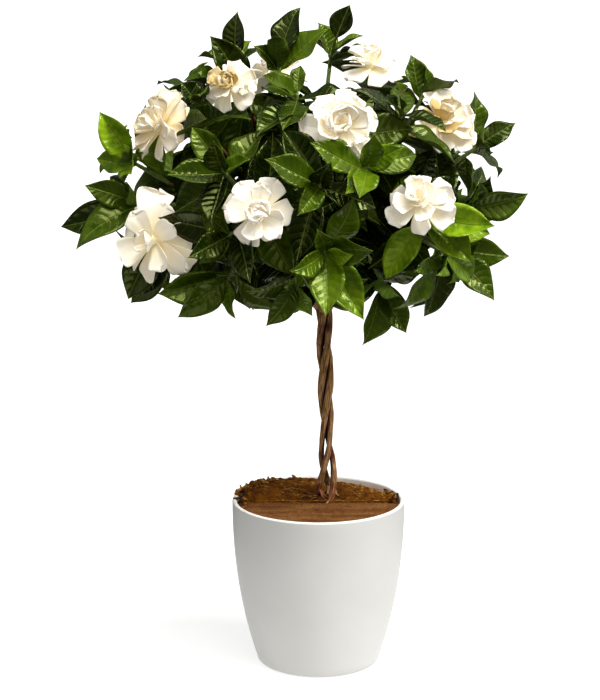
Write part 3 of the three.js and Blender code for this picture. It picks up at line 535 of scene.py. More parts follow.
sway[loose:] *= 0.25
fibre_paths = fibre_places[:, None] + fibre_lengths[:, None, None] * (
    fibre_way[:, None] * step[None, :, None] + fibre_side[:, None] * sway[..., None]
)
fibre_paths[..., 2] += 0.9 + 1.2 * (0.25 - step**2)
reach = np.linalg.norm(fibre_paths[..., :2], axis=-1, keepdims=True)
fibre_paths[..., :2] *= np.minimum(1, (soil_reach - 1.5) / reach)
fibre_radii = rng.uniform(*FIBRE_RADII, (count, 1)) * (1 - 2.4 * step**2)
fibre_radii[loose:] *= 1.4
fibre_rings = limbs(fibre_paths, fibre_radii, 4)
fibre_rings[..., 3:] = rng.uniform(0.3, 0.8, (count, 1, 1, 3))
fibre_rings[loose:, ..., 3:] += 0.6
fibres = closed_tubes(fibre_rings)

# Coconut coir: matt dry husk, orange brown with paler straw-coloured bits and dark damp ones. The
# mark's first value is how pale a chip is, and a third value below nothing is a blackened scrap's.
husk = new_material("shredded coconut coir")
place = add_node(husk, "TexCoord", {}).outputs["Object"]
shade = add_node(husk, "Attribute", {}, attribute_name="shade").outputs["Vector"]
split = add_node(husk, "SeparateXYZ", {"Vector": shade})
blotch = add_node(husk, "TexNoise", {"Vector": place, "Scale": 1 / (9 * MM), "Detail": 5.0})
strand = add_node(husk, "TexNoise", {"Vector": place, "Scale": 1 / (0.9 * MM), "Detail": 4.0})
mixed = add_node(husk, "Math", {0: split.outputs["X"], 1: 0.62, 2: blotch}, operation="MULTIPLY_ADD")
tone = add_node(husk, "ValToRGB", {"Fac": mixed}, stops=[
    (0.34, "#341a00"), (1.3, "#d2a860"), (0.52, "#5e3400"), (0.74, "#7e4a00"), (1.02, "#9a661e"),
])
fleck = add_node(husk, "ValToRGB", {"Fac": strand}, stops=[(0.35, "#8a7a6c"), (0.6, "#ffffff")])
flecked = add_node(husk, "Mix", {0: 1.0, 6: tone, 7: fleck}, data_type="RGBA", blend_type="MULTIPLY")
black = add_node(husk, "Math", {0: split.outputs["Z"], 1: 0.0}, operation="LESS_THAN")
coloured = add_node(husk, "Mix", {0: black, 6: flecked, 7: linear("#1b120c")}, data_type="RGBA")
relief = add_node(husk, "Bump", {"Height": strand, "Strength": 0.8, "Distance": 0.6 * MM})
shader = add_node(husk, "BsdfPrincipled", {
    "Base Color": coloured, "Roughness": 0.9, "Normal": relief, "Specular IOR Level": 0.1,
})
add_node(husk, "OutputMaterial", {"Surface": shader})
add_piece("coir_bed", mulch_bed, [husk], ["shade"], ["coir_mulch"])
loose_coir = {"coir_chips": chips, "coir_fibres": fibres, "coir_crumbs": crumbs, "blackened_scraps": scraps}
for name, shape in loose_coir.items():
    add_piece(name, shape, [husk], ["shade"])

# The plan of the plant: where each shoot has its tip and where the leaves that reach out of the
# crown end, as in the solids. From it come the branches, the twigs, every leaf and every petal.
TRUNK = {
    "x": 9, "y": 24, "lean": -4, "top": 372, "bearing": 155, "turns": 1.3, "bundle": 4.3, "stem": 3.5,
    "splay": 7, "splayed": 0.22,
}
STEM_FOOT_LEVEL = 118
BOUGH_RADIUS = 2.7
BRANCH_RADIUS = 1.9
BOUGHS_PER_STEM = 3
BOUGH_REACH = 0.7
FIRST_FORK = 0.42
FORK_SPAN = 0.56
FIRST_BEARING = 95
CROWN_CENTRE = np.array([-25.0, 0.0, 497.0])
CROWN_REACH = np.array([185.0, 165.0, 125.0])
TWIG = {"length": 46, "foot": 2.2, "tip": 1.9}
CALYX = {"length": 11, "foot": 1.7, "mouth": 3.4}
LEAF = {"length": 70, "least": 52, "most": 74, "breadth": 0.47, "root": 1.2}
# Stations of the plain leaf and petal: share of the length, of the half breadth, and the keel's depth
LEAF_STATIONS = [[0, 0, 0], [0.13, 0.17, 2], [0.46, 1, 1.9], [0.76, 0.72, 1.4], [1, 0, 0]]
PETAL = {"length": 37, "breadth": 0.7, "roll": 0.24}
PETAL_STATIONS = [[0, 0, 0], [0.64, 1, 1.6], [1, 0.5, 0.9]]
CLEARANCE = 1.9
BACK_BLOOM_REACH = 0.84
GOLDEN_TURN = math.radians(137.508)
UP = np.array([0.0, 0.0, 1.0])
SHOWN = np.array([0.0, -0.7, 0.3])

# Shoots that the photograph shows: the tip, the way it faces, and where its outermost leaves end
FRONT_SHOOTS = [
    dict(
        tip=(-137, -60, 562), faces=(-0.75, -0.6, 0.3), bloom="cream", turn=40,
        reach=[(-108, -116, 584)],
    ),
    dict(tip=(-80, -52, 598), faces=(-0.3, -0.8, 0.48), bloom="cream", size=0.76, turn=200),
    dict(tip=(50, -12, 602), faces=(0.05, -0.3, 0.95), bloom="white", size=0.88, turn=90),
    dict(tip=(20, -96, 568), faces=(0.0, -0.93, 0.35), bloom="white", size=1.1, turn=10),
    dict(tip=(118, -24, 550), faces=(0.15, -0.62, 0.78), bloom="cream", turn=130),
    dict(
        tip=(-149, -82, 462), faces=(-0.45, -0.88, 0.05), bloom="cream", size=1.16, turn=250,
        reach=[(-190, -68, 396)],
    ),
    dict(tip=(-56, -136, 498), faces=(-0.1, -0.97, 0.12), bloom="white", count=6, turn=300),
    dict(
        tip=(98, -106, 490), faces=(-0.1, -0.8, 0.6), bloom="white", size=0.94, turn=330,
        reach=[(168, -128, 482)],
    ),
    dict(
        tip=(5, -152, 460), count=8, turn=20, young=True,
        reach=[(-27, -188, 448), (50, -186, 468), (5, -188, 405), (42, -160, 396)],
    ),
    dict(tip=(0, -150, 524), turn=60, reach=[(-52, -166, 553), (10, -176, 548)]),
    dict(
        tip=(45, -138, 540), turn=100, young=True,
        reach=[(50, -162, 575), (78, -150, 560), (25, -178, 522)],
    ),
    dict(tip=(-92, -132, 536), turn=15, reach=[(-100, -162, 568), (-145, -150, 535)]),
    dict(tip=(-22, -78, 603), turn=75, reach=[(-55, -100, 622), (-36, -130, 574)]),
    dict(tip=(80, -76, 583), count=6, turn=140, reach=[(60, -112, 603)]),
    dict(tip=(122, -98, 449), turn=190, young=True, reach=[(90, -135, 438)]),
    dict(tip=(-180, -62, 492), turn=240, reach=[(-230, -70, 512), (-258, -50, 467), (-240, -88, 453)]),
    dict(
        tip=(-186, -42, 532), count=6, turn=45, young=True,
        reach=[(-216, -45, 582), (-222, -30, 533), (-174, -40, 588)],
    ),
    dict(tip=(-88, -100, 424), turn=280, reach=[(-138, -110, 388), (-158, -104, 410)]),
    dict(tip=(-22, -108, 420), turn=310, reach=[(-52, -120, 382), (-70, -132, 415)]),
    dict(tip=(64, -82, 414), count=8, turn=170, reach=[(44, -80, 352), (86, -90, 368), (76, -122, 410)]),
    dict(tip=(132, -52, 440), turn=220, reach=[(175, -60, 395), (106, -52, 374), (190, -40, 436)]),
    dict(tip=(148, -62, 486), turn=350, reach=[(206, -70, 502), (168, -62, 520)]),
    dict(tip=(158, -14, 542), turn=30, reach=[(196, -10, 566), (156, 0, 597)]),
    dict(tip=(104, -8, 594), count=6, turn=80, reach=[(128, 20, 600), (92, 0, 634)]),
    dict(
        tip=(-40, -16, 630), turn=110,
        reach=[(-20, 0, 682), (8, -22, 662), (-42, -42, 658), (-62, -28, 645)],
    ),
    dict(
        tip=(-84, -6, 626), count=6, turn=150,
        reach=[(-82, 0, 676), (-108, -12, 652), (-132, -46, 616)],
    ),
    dict(tip=(-118, -52, 592), count=6, turn=175, reach=[(-134, -58, 612)]),
    dict(tip=(-152, -30, 424), turn=205, reach=[(-190, -20, 384)]),
    dict(tip=(12, 12, 632), count=6, turn=260, reach=[(0, 20, 664), (30, 0, 682)], stalks={1: 0.52}),
    dict(tip=(-86, -136, 474), turn=130, reach=[(-125, -168, 458), (-66, -180, 436)]),
]

# Rows of shoots at the back: height in the crown's ellipsoid, and bearings, also those with a bloom
BACK_ROWS = [
    dict(height=0.78, bearings=(40, 100, 158), blooms=(100,)),
    dict(height=0.26, bearings=(18, 68, 116, 163), blooms=(68,)),
    dict(height=-0.28, bearings=(34, 88, 140), blooms=()),
    dict(height=-0.7, bearings=(60, 120), blooms=()),
]


def unit(vector):
    """The same direction with length one."""
    return vector / np.linalg.norm(vector)


def outwards(place):
    """The crown's outward direction at a place: the slope of its ellipsoid there."""
    return unit((place - CROWN_CENTRE) / CROWN_REACH**2)


def cross_frame(axis):
    """Two directions across an axis, the first level with the ground."""
    first = unit(np.cross(UP, axis))
    return first, np.cross(axis, first)


def back_shoots():
    """Rows of shoots round the back of the crown's ellipsoid, some of them with a bloom."""
    for row in BACK_ROWS:
        level = math.sqrt(1 - row["height"] ** 2)
        for bearing in row["bearings"]:
            turn = math.radians(bearing)
            way = np.array([level * math.cos(turn), level * math.sin(turn), row["height"]])
            bloom = "white" if bearing in row["blooms"] else None
            tip = way * CROWN_REACH * (BACK_BLOOM_REACH if bloom else 1) + CROWN_CENTRE
            yield dict(tip=tip, bloom=bloom, turn=bearing * 3)


def grown(shoot, index):
    """A shoot with its own frame: the tip, the way it grows, and the foot that meets its branch. It
    has seven leaves, or five round a bloom, unless its row says otherwise."""
    tip = np.array(shoot["tip"], dtype=float)
    grows = unit(np.array(shoot["faces"])) if "faces" in shoot else unit(outwards(tip) + 0.15 * UP)
    foot = tip - TWIG["length"] * grows
    frame_of = dict(tip=tip, grows=grows, foot=foot, number=f"{index + 1:02d}", seed=101 + 17 * index)
    usual = dict(bloom=None, size=1, young=False, count=5 if shoot.get("bloom") else 7, reach=[])
    return {**usual, **shoot, **frame_of}


def stem_points(stem, heights, slack=1.0):
    """The middle line of a stem. The three wind round one axis, further from it where they are
    slack, and splay a little at the foot."""
    share = (heights - SOIL_LEVEL) / (TRUNK["top"] - SOIL_LEVEL)
    spread = np.maximum(0, 1 - share / TRUNK["splayed"])
    radius = TRUNK["bundle"] * slack + TRUNK["splay"] * spread**2
    bearing = math.radians(stem * 360 / 3 + TRUNK["bearing"])
    bearing = bearing - TRUNK["turns"] * 2 * np.pi * (1 - np.maximum(share, -0.05))
    x = TRUNK["x"] + TRUNK["lean"] * share**2 + radius * np.cos(bearing)
    return np.stack([x, TRUNK["y"] + radius * np.sin(bearing), heights + 0 * share], axis=-1)


def bough_points(bough, shares):
    """Points of a bough, a quadratic curve through its start, knee and end."""
    t = np.asarray(shares, dtype=float)[..., None]
    return (1 - t) ** 2 * bough["start"] + 2 * t * (1 - t) * bough["knee"] + t**2 * bough["end"]


def branch_plan(shoots):
    """Each stem serves a third of the shoots, those on the side that it leans to. They are served
    in groups by height, and each group by one bough whose branches leave it in turn."""

    def bearing_of(shoot):
        x, y = shoot["foot"][0] - TRUNK["x"], shoot["foot"][1] - TRUNK["y"]
        return (math.degrees(math.atan2(y, x)) - FIRST_BEARING + 720) % 360

    ranked = sorted(shoots, key=bearing_of)
    third = math.ceil(len(shoots) / 3)
    plan = []
    for stem in range(3):
        served = sorted(ranked[stem * third : (stem + 1) * third], key=lambda shoot: shoot["foot"][2])
        share = math.ceil(len(served) / BOUGHS_PER_STEM)
        start = stem_points(stem, np.array(TRUNK["top"] - 6.0))
        for i in range(BOUGHS_PER_STEM):
            group = served[i * share : (i + 1) * share]
            middle = np.mean([shoot["foot"] for shoot in group], axis=0)
            end = start + BOUGH_REACH * (middle - start)
            knee = (start + end) / 2
            knee[2] = 0.3 * start[2] + 0.7 * end[2]
            bough = dict(stem=stem, start=start, knee=knee, end=end)
            order = sorted(group, key=lambda shoot: np.linalg.norm(start - shoot["foot"]))
            last = max(1, len(order) - 1)
            forks = [bough_points(bough, FIRST_FORK + FORK_SPAN * k / last) for k in range(len(order))]
            plan.append({**bough, "branches": list(zip(forks, order))})
    return plan


shoots = [grown(shoot, i) for i, shoot in enumerate([*FRONT_SHOOTS, *back_shoots()])]
plan = branch_plan(shoots)

# The trunk and branches: woody gardenia stems with thin dry bark, three of them twisted together
# while young. They splay into a few roots in the mulch, and fork into boughs and branches above.
STEM_BARK = {"ridge": 0.32, "oval": 0.09, "knot": 0.5}
# Radius and slack of the stems at a few levels
STEM_LEVELS = [SOIL_LEVEL, 200, 214, 225, 241, 280, 320, 372]
STEM_THICKNESS = [3.4, 3.2, 3.2, 3.1, 3.1, 3.5, 4.0, 4.1]
STEM_SLACK = [1.1, 1.5, 1.45, 1.2, 0.95, 1.03, 1.15, 1.12]
STEM_TOP = TRUNK["top"] - 2
ROOT_START = 13.0
ROOT_FALL = 12.5
# Stem, bearing and reach of each surface root
ROOTS = [(0, 200, 15), (0, 262, 17), (1, 300, 16), (1, 345, 14), (2, 35, 15), (2, 250, 19), (0, 300, 20)]


def woody(paths, radii, corners, seed, axis=None):
    """Limbs whose skin is slightly oval, with ridges that run along them and soft swellings. The
    last marks tell how much the skin faces the bundle's axis, where strands press together; the
    bark is painted darker there as painted shade."""
    rings = limbs(paths, radii, corners)
    mark = rings[..., 3:]
    stretched = mark * [1, 1, 0.12]
    ridges, knots = ripples(stretched, 2.6, seed), ripples(mark, 22, seed + 1)
    relief = STEM_BARK["ridge"] * ridges + STEM_BARK["knot"] * knots / 2
    angle = np.arctan2(mark[..., 1], mark[..., 0])
    oval = STEM_BARK["oval"] * np.cos(2 * angle + mark[..., 2] / 18)
    size = np.linalg.norm(mark[..., :2], axis=-1)
    grown_size = 1 + (relief * np.clip(size / 4, 0.3, 1) + oval * size) / np.maximum(size, 0.5)
    middle = paths[:, :, None]
    away = rings[..., :3] - middle
    rings[..., :3] = middle + away * grown_size[..., None]
    # A mark for painted shade: how far the skin faces the bundle's axis, near the other strands
    painted_shade = np.zeros(rings.shape[:-1] + (3,))
    if axis is not None:
        inwards = axis - paths
        apart = np.linalg.norm(inwards, axis=-1)[..., None]
        facing = np.einsum("ijkl,ijl->ijk", away, inwards) / size / apart
        painted_shade[..., 0] = np.clip((facing + 0.15) / 0.6, 0, 1) ** 1.5 * np.clip((11 - apart) / 6, 0.35, 1)
    return np.concatenate([rings, painted_shade], axis=-1)


# Young gardenia bark: dry and thin, pale tan with olive and rusty patches along the stem. Where
# the strands press together it is painted dark, a painted shade that makes each read as a separate round rod.
bark = new_material("dry gardenia bark")
grain = add_node(bark, "Attribute", {}, attribute_name="grain").outputs["Vector"]
place = add_node(bark, "TexCoord", {}).outputs["Object"]
along = add_node(bark, "Mapping", {"Vector": grain, "Scale": (1, 1, 0.1)})
streak = add_node(bark, "TexNoise", {"Vector": along, "Scale": 0.9, "Detail": 6.0, "Roughness": 0.65})
patch = add_node(bark, "TexNoise", {"Vector": place, "Scale": 1 / (34 * MM), "Detail": 3.0})
tone = add_node(bark, "ValToRGB", {"Fac": streak}, stops=[
    (0.3, "#2c1809"), (0.75, "#ecc893"), (0.44, "#7b5334"), (0.58, "#bb9061"),
])
moss = add_node(bark, "ValToRGB", {"Fac": patch}, stops=[
    (0.38, "#a8684a"), (0.64, "#c2bc84"), (0.5, "#ffffff"),
])
coloured = add_node(bark, "Mix", {0: 0.8, 6: tone, 7: moss}, data_type="RGBA", blend_type="MULTIPLY")
# Painted shade between the strands: the bark darkens where the skin faces the others
painted_shade = add_node(bark, "Attribute", {}, attribute_name="painted_shade").outputs["Vector"]
pressed = add_node(bark, "SeparateXYZ", {"Vector": painted_shade}).outputs["X"]
darker = add_node(bark, "Mix", {0: pressed, 6: coloured, 7: linear("#1e0f06")}, data_type="RGBA")
relief = add_node(bark, "Bump", {"Height": streak, "Strength": 0.9, "Distance": 0.7 * MM})
shader = add_node(bark, "BsdfPrincipled", {
    "Base Color": darker, "Roughness": 0.85, "Normal": relief, "Specular IOR Level": 0.2,
})
add_node(bark, "OutputMaterial", {"Surface": shader})

for stem in range(3):
    heights = np.linspace(STEM_FOOT_LEVEL, STEM_TOP, 120)
    thickness = np.interp(heights, STEM_LEVELS, STEM_THICKNESS)
    slack = np.interp(heights, STEM_LEVELS, STEM_SLACK)
    lines = [stem_points(number, heights, slack) for number in range(3)]
    axis = np.mean(lines, axis=0)
    bodies = [closed_tubes(woody(lines[stem][None], thickness[None], 28, 31 + stem, axis[None]))]
    t = np.linspace(0, 1, 16)
    own_boughs = [bough for bough in plan if bough["stem"] == stem]
    bough_paths = np.array([bough_points(bough, t) for bough in own_boughs])
    bough_radii = np.broadcast_to(BOUGH_RADIUS + 0.7 - 0.9 * t, bough_paths.shape[:2])
    bodies.append(closed_tubes(woody(bough_paths, bough_radii, 14, 41 + stem)))
    ends = np.array([[fork, shoot["foot"]] for bough in own_boughs for fork, shoot in bough["branches"]])
    t = np.linspace(0, 1, 12)[None, :, None]
    branch_paths = ends[:, :1] * (1 - t) + ends[:, 1:] * t
    branch_radii = np.broadcast_to(BRANCH_RADIUS + 0.35 * (0.5 - t[0, :, 0]), branch_paths.shape[:2])
    bodies.append(closed_tubes(woody(branch_paths, branch_radii, 10, 51 + stem)))
    own_roots = np.array([root[1:] for root in ROOTS if root[0] == stem], dtype=float)
    start = stem_points(stem, np.array(SOIL_LEVEL + ROOT_START))
    way = np.column_stack([level_ways(np.radians(own_roots[:, 0])), 0 * own_roots[:, 0]])
    root_paths = way[:, None] * own_roots[:, 1, None, None] * t**1.6 - ROOT_FALL * UP * np.sin(t * np.pi / 2)
    root_radii = np.broadcast_to(1.9 - 1.2 * t[0, :, 0], root_paths.shape[:2])
    bodies.append(closed_tubes(woody(start + root_paths, root_radii, 8, 61 + stem)))
    node = f"stem_{stem + 1}"
    add_piece("woody_" + node, joined(bodies), [bark], ["grain", "painted_shade"], [node])

# The leafy shoots: green twigs with opposite and whorled leaves, thick and waxy with a sunken
# pale midrib and eight or nine pairs of sunken side veins. Each leaf sits on a short stalk.
VEIN_PAIRS = 9.5
VEIN_SWEEP = 0.13
LEAF_THICKNESS = 0.45
STALK_RADIUS = 1.1
STALK_ROUNDNESS = 1.1
STALK_SHARE = 0.07
USUAL_YOUTH = 0.3
# Steps along and across the upper face of a leaf
FINE_LEAF = (37, 9)
# What is tried for a leaf, in this order: turn round the twig, lean, and share of its length
TURNS = [
    [0, 0, 1], [14, 0, 1], [-14, 0, 1], [0, -14, 1], [0, 14, 1], [26, -8, 0.95], [-26, -8, 0.95],
    [40, 0, 0.9], [-40, 0, 0.9], [0, -26, 0.9], [20, 18, 0.85], [-20, 18, 0.85], [60, -10, 0.8],
    [-60, -10, 0.8],
]
# Leaves from the tip down: distance below the tip, tilt from the twig, and size
WHORL = [
    [1, 30, 0.55], [2, 46, 0.72], [7, 62, 0.9], [9, 70, 1], [15, 78, 1], [18, 84, 1.04], [26, 92, 1],
    [29, 98, 0.96],
]
# What is tried for a reaching leaf: distance further down the twig, and share of its bend
REACHES = [[0, 1], [6, 1], [12, 1], [0, 1.7], [12, 1.7], [20, 1], [6, 0.3], [28, 1], [28, 1.7]]
BLOOM_WHORLS = [
    dict(petals=6, tilt=78, size=1, root=9, bend=0.5),
    dict(petals=4, tilt=52, size=0.84, root=13, bend=0.35),
    dict(petals=3, tilt=24, size=0.62, root=15, bend=-0.35),
]
# The middle of a bloom above its calyx, as the rod that leaves stay clear of
HEART = {"foot": 4, "top": 27, "radius": 6}


def draws_from(seed):
    """Seeded draws from 0 to 1, by mixing the bits of a 32-bit counter. The same on every run."""
    mask, state = 0xFFFFFFFF, seed
    while True:
        state = (state + 0x6D2B79F5) & mask
        mixed = (state ^ (state >> 15)) * (1 | state) & mask
        mixed = (mixed + (mixed ^ (mixed >> 7)) * (61 | mixed)) & mask ^ mixed
        yield (mixed ^ (mixed >> 14)) / 2**32


def blade_rings(blade, stations):
    """Rib, margins and keel of a blade at its stations. The rib leaves its root along one
    direction and bends away from the blade's face on an arc, and the margins lie beside it."""
    share, breadth, depth = np.array(stations, dtype=float).T[:, :, None]
    turn = blade["bend"] * share
    run = blade["length"] * np.sin(turn) / blade["bend"]
    drop = blade["length"] * (1 - np.cos(turn)) / blade["bend"]
    rib = blade["root"] + blade["along"] * run - blade["face"] * drop
    normal = blade["face"] * np.cos(turn) + blade["along"] * np.sin(turn)
    out = np.cross(blade["along"], blade["face"]) * breadth * blade["half"]
    return rib, normal, rib - out, rib + out, rib - normal * depth


def bounded(triangles, segments):
    """Triangles and segments with the ball that holds the segments."""
    low, high = segments.min(axis=(0, 1)), segments.max(axis=(0, 1))
    radius = np.linalg.norm(high - low) / 2
    return {"triangles": triangles, "segments": segments, "centre": (low + high) / 2, "radius": radius}


def outline_of(rings, first):
    """A blade from one station on as triangles, with the segments that would pierce a neighbour:
    its edges, and short normals that keep the two apart."""
    rib, normal, left, right, keel = (line[first:] for line in rings)
    guard = CLEARANCE * normal
    pairs = [(line - guard, line + guard) for line in (rib, left, right)]
    pairs += [(left, right), (left, keel), (right, keel)]
    pairs += [(line[:-1], line[1:]) for line in (left, right, keel)]
    for line in (left, right):
        middle = (line[:-1] + rib[:-1] + rib[1:] + line[1:]) / 4
        pairs.append((middle - guard[1:], middle + guard[1:]))
    segments = np.concatenate([np.stack(pair, axis=1) for pair in pairs])
    halves = []
    for one, other in [(left, right), (left, keel), (right, keel)]:
        halves.append(np.stack([one[:-1], other[:-1], other[1:]], axis=1))
        halves.append(np.stack([one[:-1], other[1:], one[1:]], axis=1))
    return bounded(np.concatenate(halves), segments)


def rod_outline(start, end, radius):
    """A rod as two crossed ribbons, a little wider than it is."""
    axis = unit(end - start)
    across = unit(np.cross(axis, UP if abs(axis[2]) < 0.9 else np.array([1.0, 0.0, 0.0])))
    triangles, segments = [], [(start, end)]
    for way in (across, np.cross(axis, across)):
        offset = way * (radius + CLEARANCE / 2)
        a, b, c, d = start - offset, start + offset, end + offset, end - offset
        triangles += [(a, b, c), (a, c, d)]
        segments += [(a, d), (b, c)]
    return bounded(np.array(triangles), np.array(segments))


def pierced(segments, triangles):
    """Whether any of the segments passes through any of the triangles. All pairs are solved at
    once for the share along the segment and the two shares across the triangle."""
    start, way = segments[:, None, 0], (segments[:, 1] - segments[:, 0])[:, None]
    corner = triangles[None, :, 0]
    ab, ac = triangles[None, :, 1] - corner, triangles[None, :, 2] - corner
    across = np.cross(way, ac)
    scale = (ab * across).sum(-1)
    scale = np.where(np.abs(scale) < 1e-9, np.inf, scale)
    offset = start - corner
    u = (offset * across).sum(-1) / scale
    turned_offset = np.cross(offset, ab)
    v = (way * turned_offset).sum(-1) / scale
    t = (ac * turned_offset).sum(-1) / scale
    crossed = (u >= 0) & (u <= 1) & (v >= 0) & (u + v <= 1) & (t >= 0) & (t <= 1)
    return bool((crossed & np.isfinite(scale)).any())


def touches(one, others):
    """Whether an outline touches any of the others: first their balls, then edges against faces."""
    if not others:
        return False
    centres = np.array([other["centre"] for other in others])
    reach = one["radius"] + np.array([other["radius"] for other in others])
    near = np.flatnonzero(np.linalg.norm(centres - one["centre"], axis=1) <= reach)
    if len(near) == 0:
        return False
    segments = np.concatenate([others[i]["segments"] for i in near])
    triangles = np.concatenate([others[i]["triangles"] for i in near])
    return pierced(one["segments"], triangles) or pierced(segments, one["triangles"])


def bloom_petals(shoot):
    """The petals of a bloom in three whorls round the way it faces, each leaning over the next."""
    draw = draws_from(shoot["seed"] + 7)
    petals = []
    for whorl, row in enumerate(BLOOM_WHORLS):
        for i in range(row["petals"]):
            bearing = 2 * np.pi * (i + whorl * 0.5) / row["petals"]
            bearing += math.radians(shoot["turn"]) + 0.16 * (next(draw) - 0.5)
            lean = math.radians(row["tilt"]) + 0.2 * (next(draw) - 0.5)
            length = PETAL["length"] * shoot["size"] * row["size"] * (0.9 + 0.2 * next(draw))
            petals.append(petal_at(shoot, bearing, lean, length, row["root"], row["bend"], whorl))
    return petals


def leaning(axis, bearing, lean):
    """The way a blade runs and the way its face looks, from its bearing round an axis and its lean
    from that axis."""
    first, second = cross_frame(axis)
    out = first * math.cos(bearing) + second * math.sin(bearing)
    return axis * math.cos(lean) + out * math.sin(lean), axis * math.sin(lean) - out * math.cos(lean)


def petal_at(shoot, bearing, lean, length, root, bend, whorl):
    """A petal from its bearing round the bloom's axis, its lean from the axis and its length."""
    along, flat = leaning(shoot["grows"], bearing, lean)
    face = flat * math.cos(PETAL["roll"]) + np.cross(along, flat) * math.sin(PETAL["roll"])
    place = shoot["tip"] + shoot["grows"] * (CALYX["length"] + root)
    half = length * PETAL["breadth"] * 0.5
    return dict(root=place, along=along, face=face, length=length, half=half, bend=bend, whorl=whorl)


def fixed_parts():
    """Everything that a leaf must stay clear of before any leaf is placed: wood, twigs, blooms."""
    fixed = []
    for stem in range(3):
        trunk = stem_points(stem, np.linspace(SOIL_LEVEL, TRUNK["top"], 16))[6:]
        fixed += [("branch", rod_outline(a, b, TRUNK["stem"])) for a, b in zip(trunk, trunk[1:])]
        for bough in plan:
            if bough["stem"] != stem:
                continue
            path = bough_points(bough, np.linspace(0, 1, 4))
            fixed += [("branch", rod_outline(a, b, BOUGH_RADIUS)) for a, b in zip(path, path[1:])]
            for fork, shoot in bough["branches"]:
                way = unit(shoot["foot"] - fork)
                lean = np.linalg.norm(np.cross(way, shoot["grows"]))
                end = shoot["foot"] - way * (0.3 + BRANCH_RADIUS * lean)
                middle = (fork + end) / 2
                halves = [(fork, middle), (middle, end)]
                fixed += [("branch", rod_outline(a, b, BRANCH_RADIUS)) for a, b in halves]
    for shoot in shoots:
        tip = shoot["tip"] + shoot["grows"] * (CALYX["length"] if shoot["bloom"] else 0)
        fixed.append((shoot["number"], rod_outline(shoot["foot"], tip, TWIG["foot"])))
        if shoot["bloom"]:
            foot, top = (tip + HEART[key] * shoot["grows"] for key in ("foot", "top"))
            fixed.append(("bloom", rod_outline(foot, top, HEART["radius"])))
            for petal in bloom_petals(shoot):
                fixed.append(("bloom", outline_of(blade_rings(petal, PETAL_STATIONS), 0)))
    return [dict(shoot=number, whole=whole, outer=None, leaf=None) for number, whole in fixed]


def keep_leaf(number, leaf, kept):
    """Keeps a leaf if its plain blade clears everything so far. Leaves of its own shoot are tested
    past their feet, which crowd together on the twig."""
    rings = blade_rings(leaf, LEAF_STATIONS)
    whole, outer = outline_of(rings, 0), outline_of(rings, 1)
    if touches(outer, [part["outer"] for part in kept if part["shoot"] == number and part["outer"]]):
        return False
    if touches(whole, [part["whole"] for part in kept if part["shoot"] != number]):
        return False
    kept.append(dict(shoot=number, whole=whole, outer=outer, leaf=leaf))
    return True


def reaching_leaf(root, tip, bend):
    """A leaf from a root to a tip. Its upper face looks out of the crown, upwards and forwards."""
    chord = tip - root
    length = np.linalg.norm(chord) * (bend / 2) / math.sin(bend / 2)
    chord = unit(chord)
    face = outwards((tip + root) / 2) + SHOWN
    face = unit(face - chord * face.dot(chord))
    along = chord * math.cos(bend / 2) + face * math.sin(bend / 2)
    upper = face * math.cos(bend / 2) - chord * math.sin(bend / 2)
    half = 0.5 * LEAF["breadth"] * min(max(length, LEAF["least"]), LEAF["most"])
    root, length = root - along * LEAF["root"], length + LEAF["root"]
    return dict(root=root, along=along, face=upper, length=length, half=half, bend=bend)


def spread_leaf(axis, place, bearing, tilt, length, bend):
    """A leaf that leaves a twig at a place, with its bearing round the twig and its tilt from it."""
    along, face = leaning(axis, bearing, tilt)
    root, half = place - along * LEAF["root"], length * LEAF["breadth"] * 0.5
    return dict(root=root, along=along, face=face, length=length, half=half, bend=bend)


def add_reaching_leaves(shoot, kept):
    """The leaves that reach out of the crown's outline, each from the first root that suits."""
    draw = draws_from(shoot["seed"])
    for i, target in enumerate(shoot["reach"]):
        bend = 0.35 + 0.4 * next(draw)
        for back, curl in REACHES:
            root = shoot["tip"] - shoot["grows"] * (3 + 4 * i + back)
            leaf = reaching_leaf(root, np.array(target, dtype=float), bend * curl)
            stalk = shoot.get("stalks", {}).get(i, STALK_SHARE)
            if keep_leaf(shoot["number"], {**leaf, "age": 0.6, "stalk": stalk}, kept):
                break


def add_whorl_leaves(shoot, kept):
    """The rest of a shoot's leaves, from the tip down, each turned until it clears the others."""
    draw = draws_from(shoot["seed"] + 5)
    first = 3 if shoot["bloom"] else 0
    for i in range(shoot["count"] - len(shoot["reach"])):
        back, tilt, size = WHORL[min(first + i, len(WHORL) - 1)]
        bearing = math.radians(shoot["turn"]) + i * GOLDEN_TURN + 0.3 * (next(draw) - 0.5)
        length = LEAF["length"] * size * (0.88 + 0.24 * next(draw))
        bend = 0.4 + 0.55 * next(draw)
        sunk = back + 3 * max(0, first + i - len(WHORL) + 1)
        place = shoot["tip"] - shoot["grows"] * sunk
        for turn, lean, share in TURNS:
            angles = (bearing + math.radians(turn), math.radians(tilt + lean))
            leaf = spread_leaf(shoot["grows"], place, *angles, length * share, bend)
            if keep_leaf(shoot["number"], {**leaf, "age": min(1, 0.15 + 0.25 * (first + i))}, kept):
                break


kept = fixed_parts()
for shoot in shoots:
    add_reaching_leaves(shoot, kept)
for shoot in shoots:
    add_whorl_leaves(shoot, kept)


def settings_of(blades, steps):
    """Root, direction, face, length, half breadth and bend of all the blades as arrays, with room
    for one or two more axes after the first."""
    keys = ("root", "along", "face", "length", "half", "bend")
    values = (np.array([blade[key] for blade in blades]) for key in keys)
    return [np.expand_dims(value, tuple(range(1, 1 + steps))) for value in values]


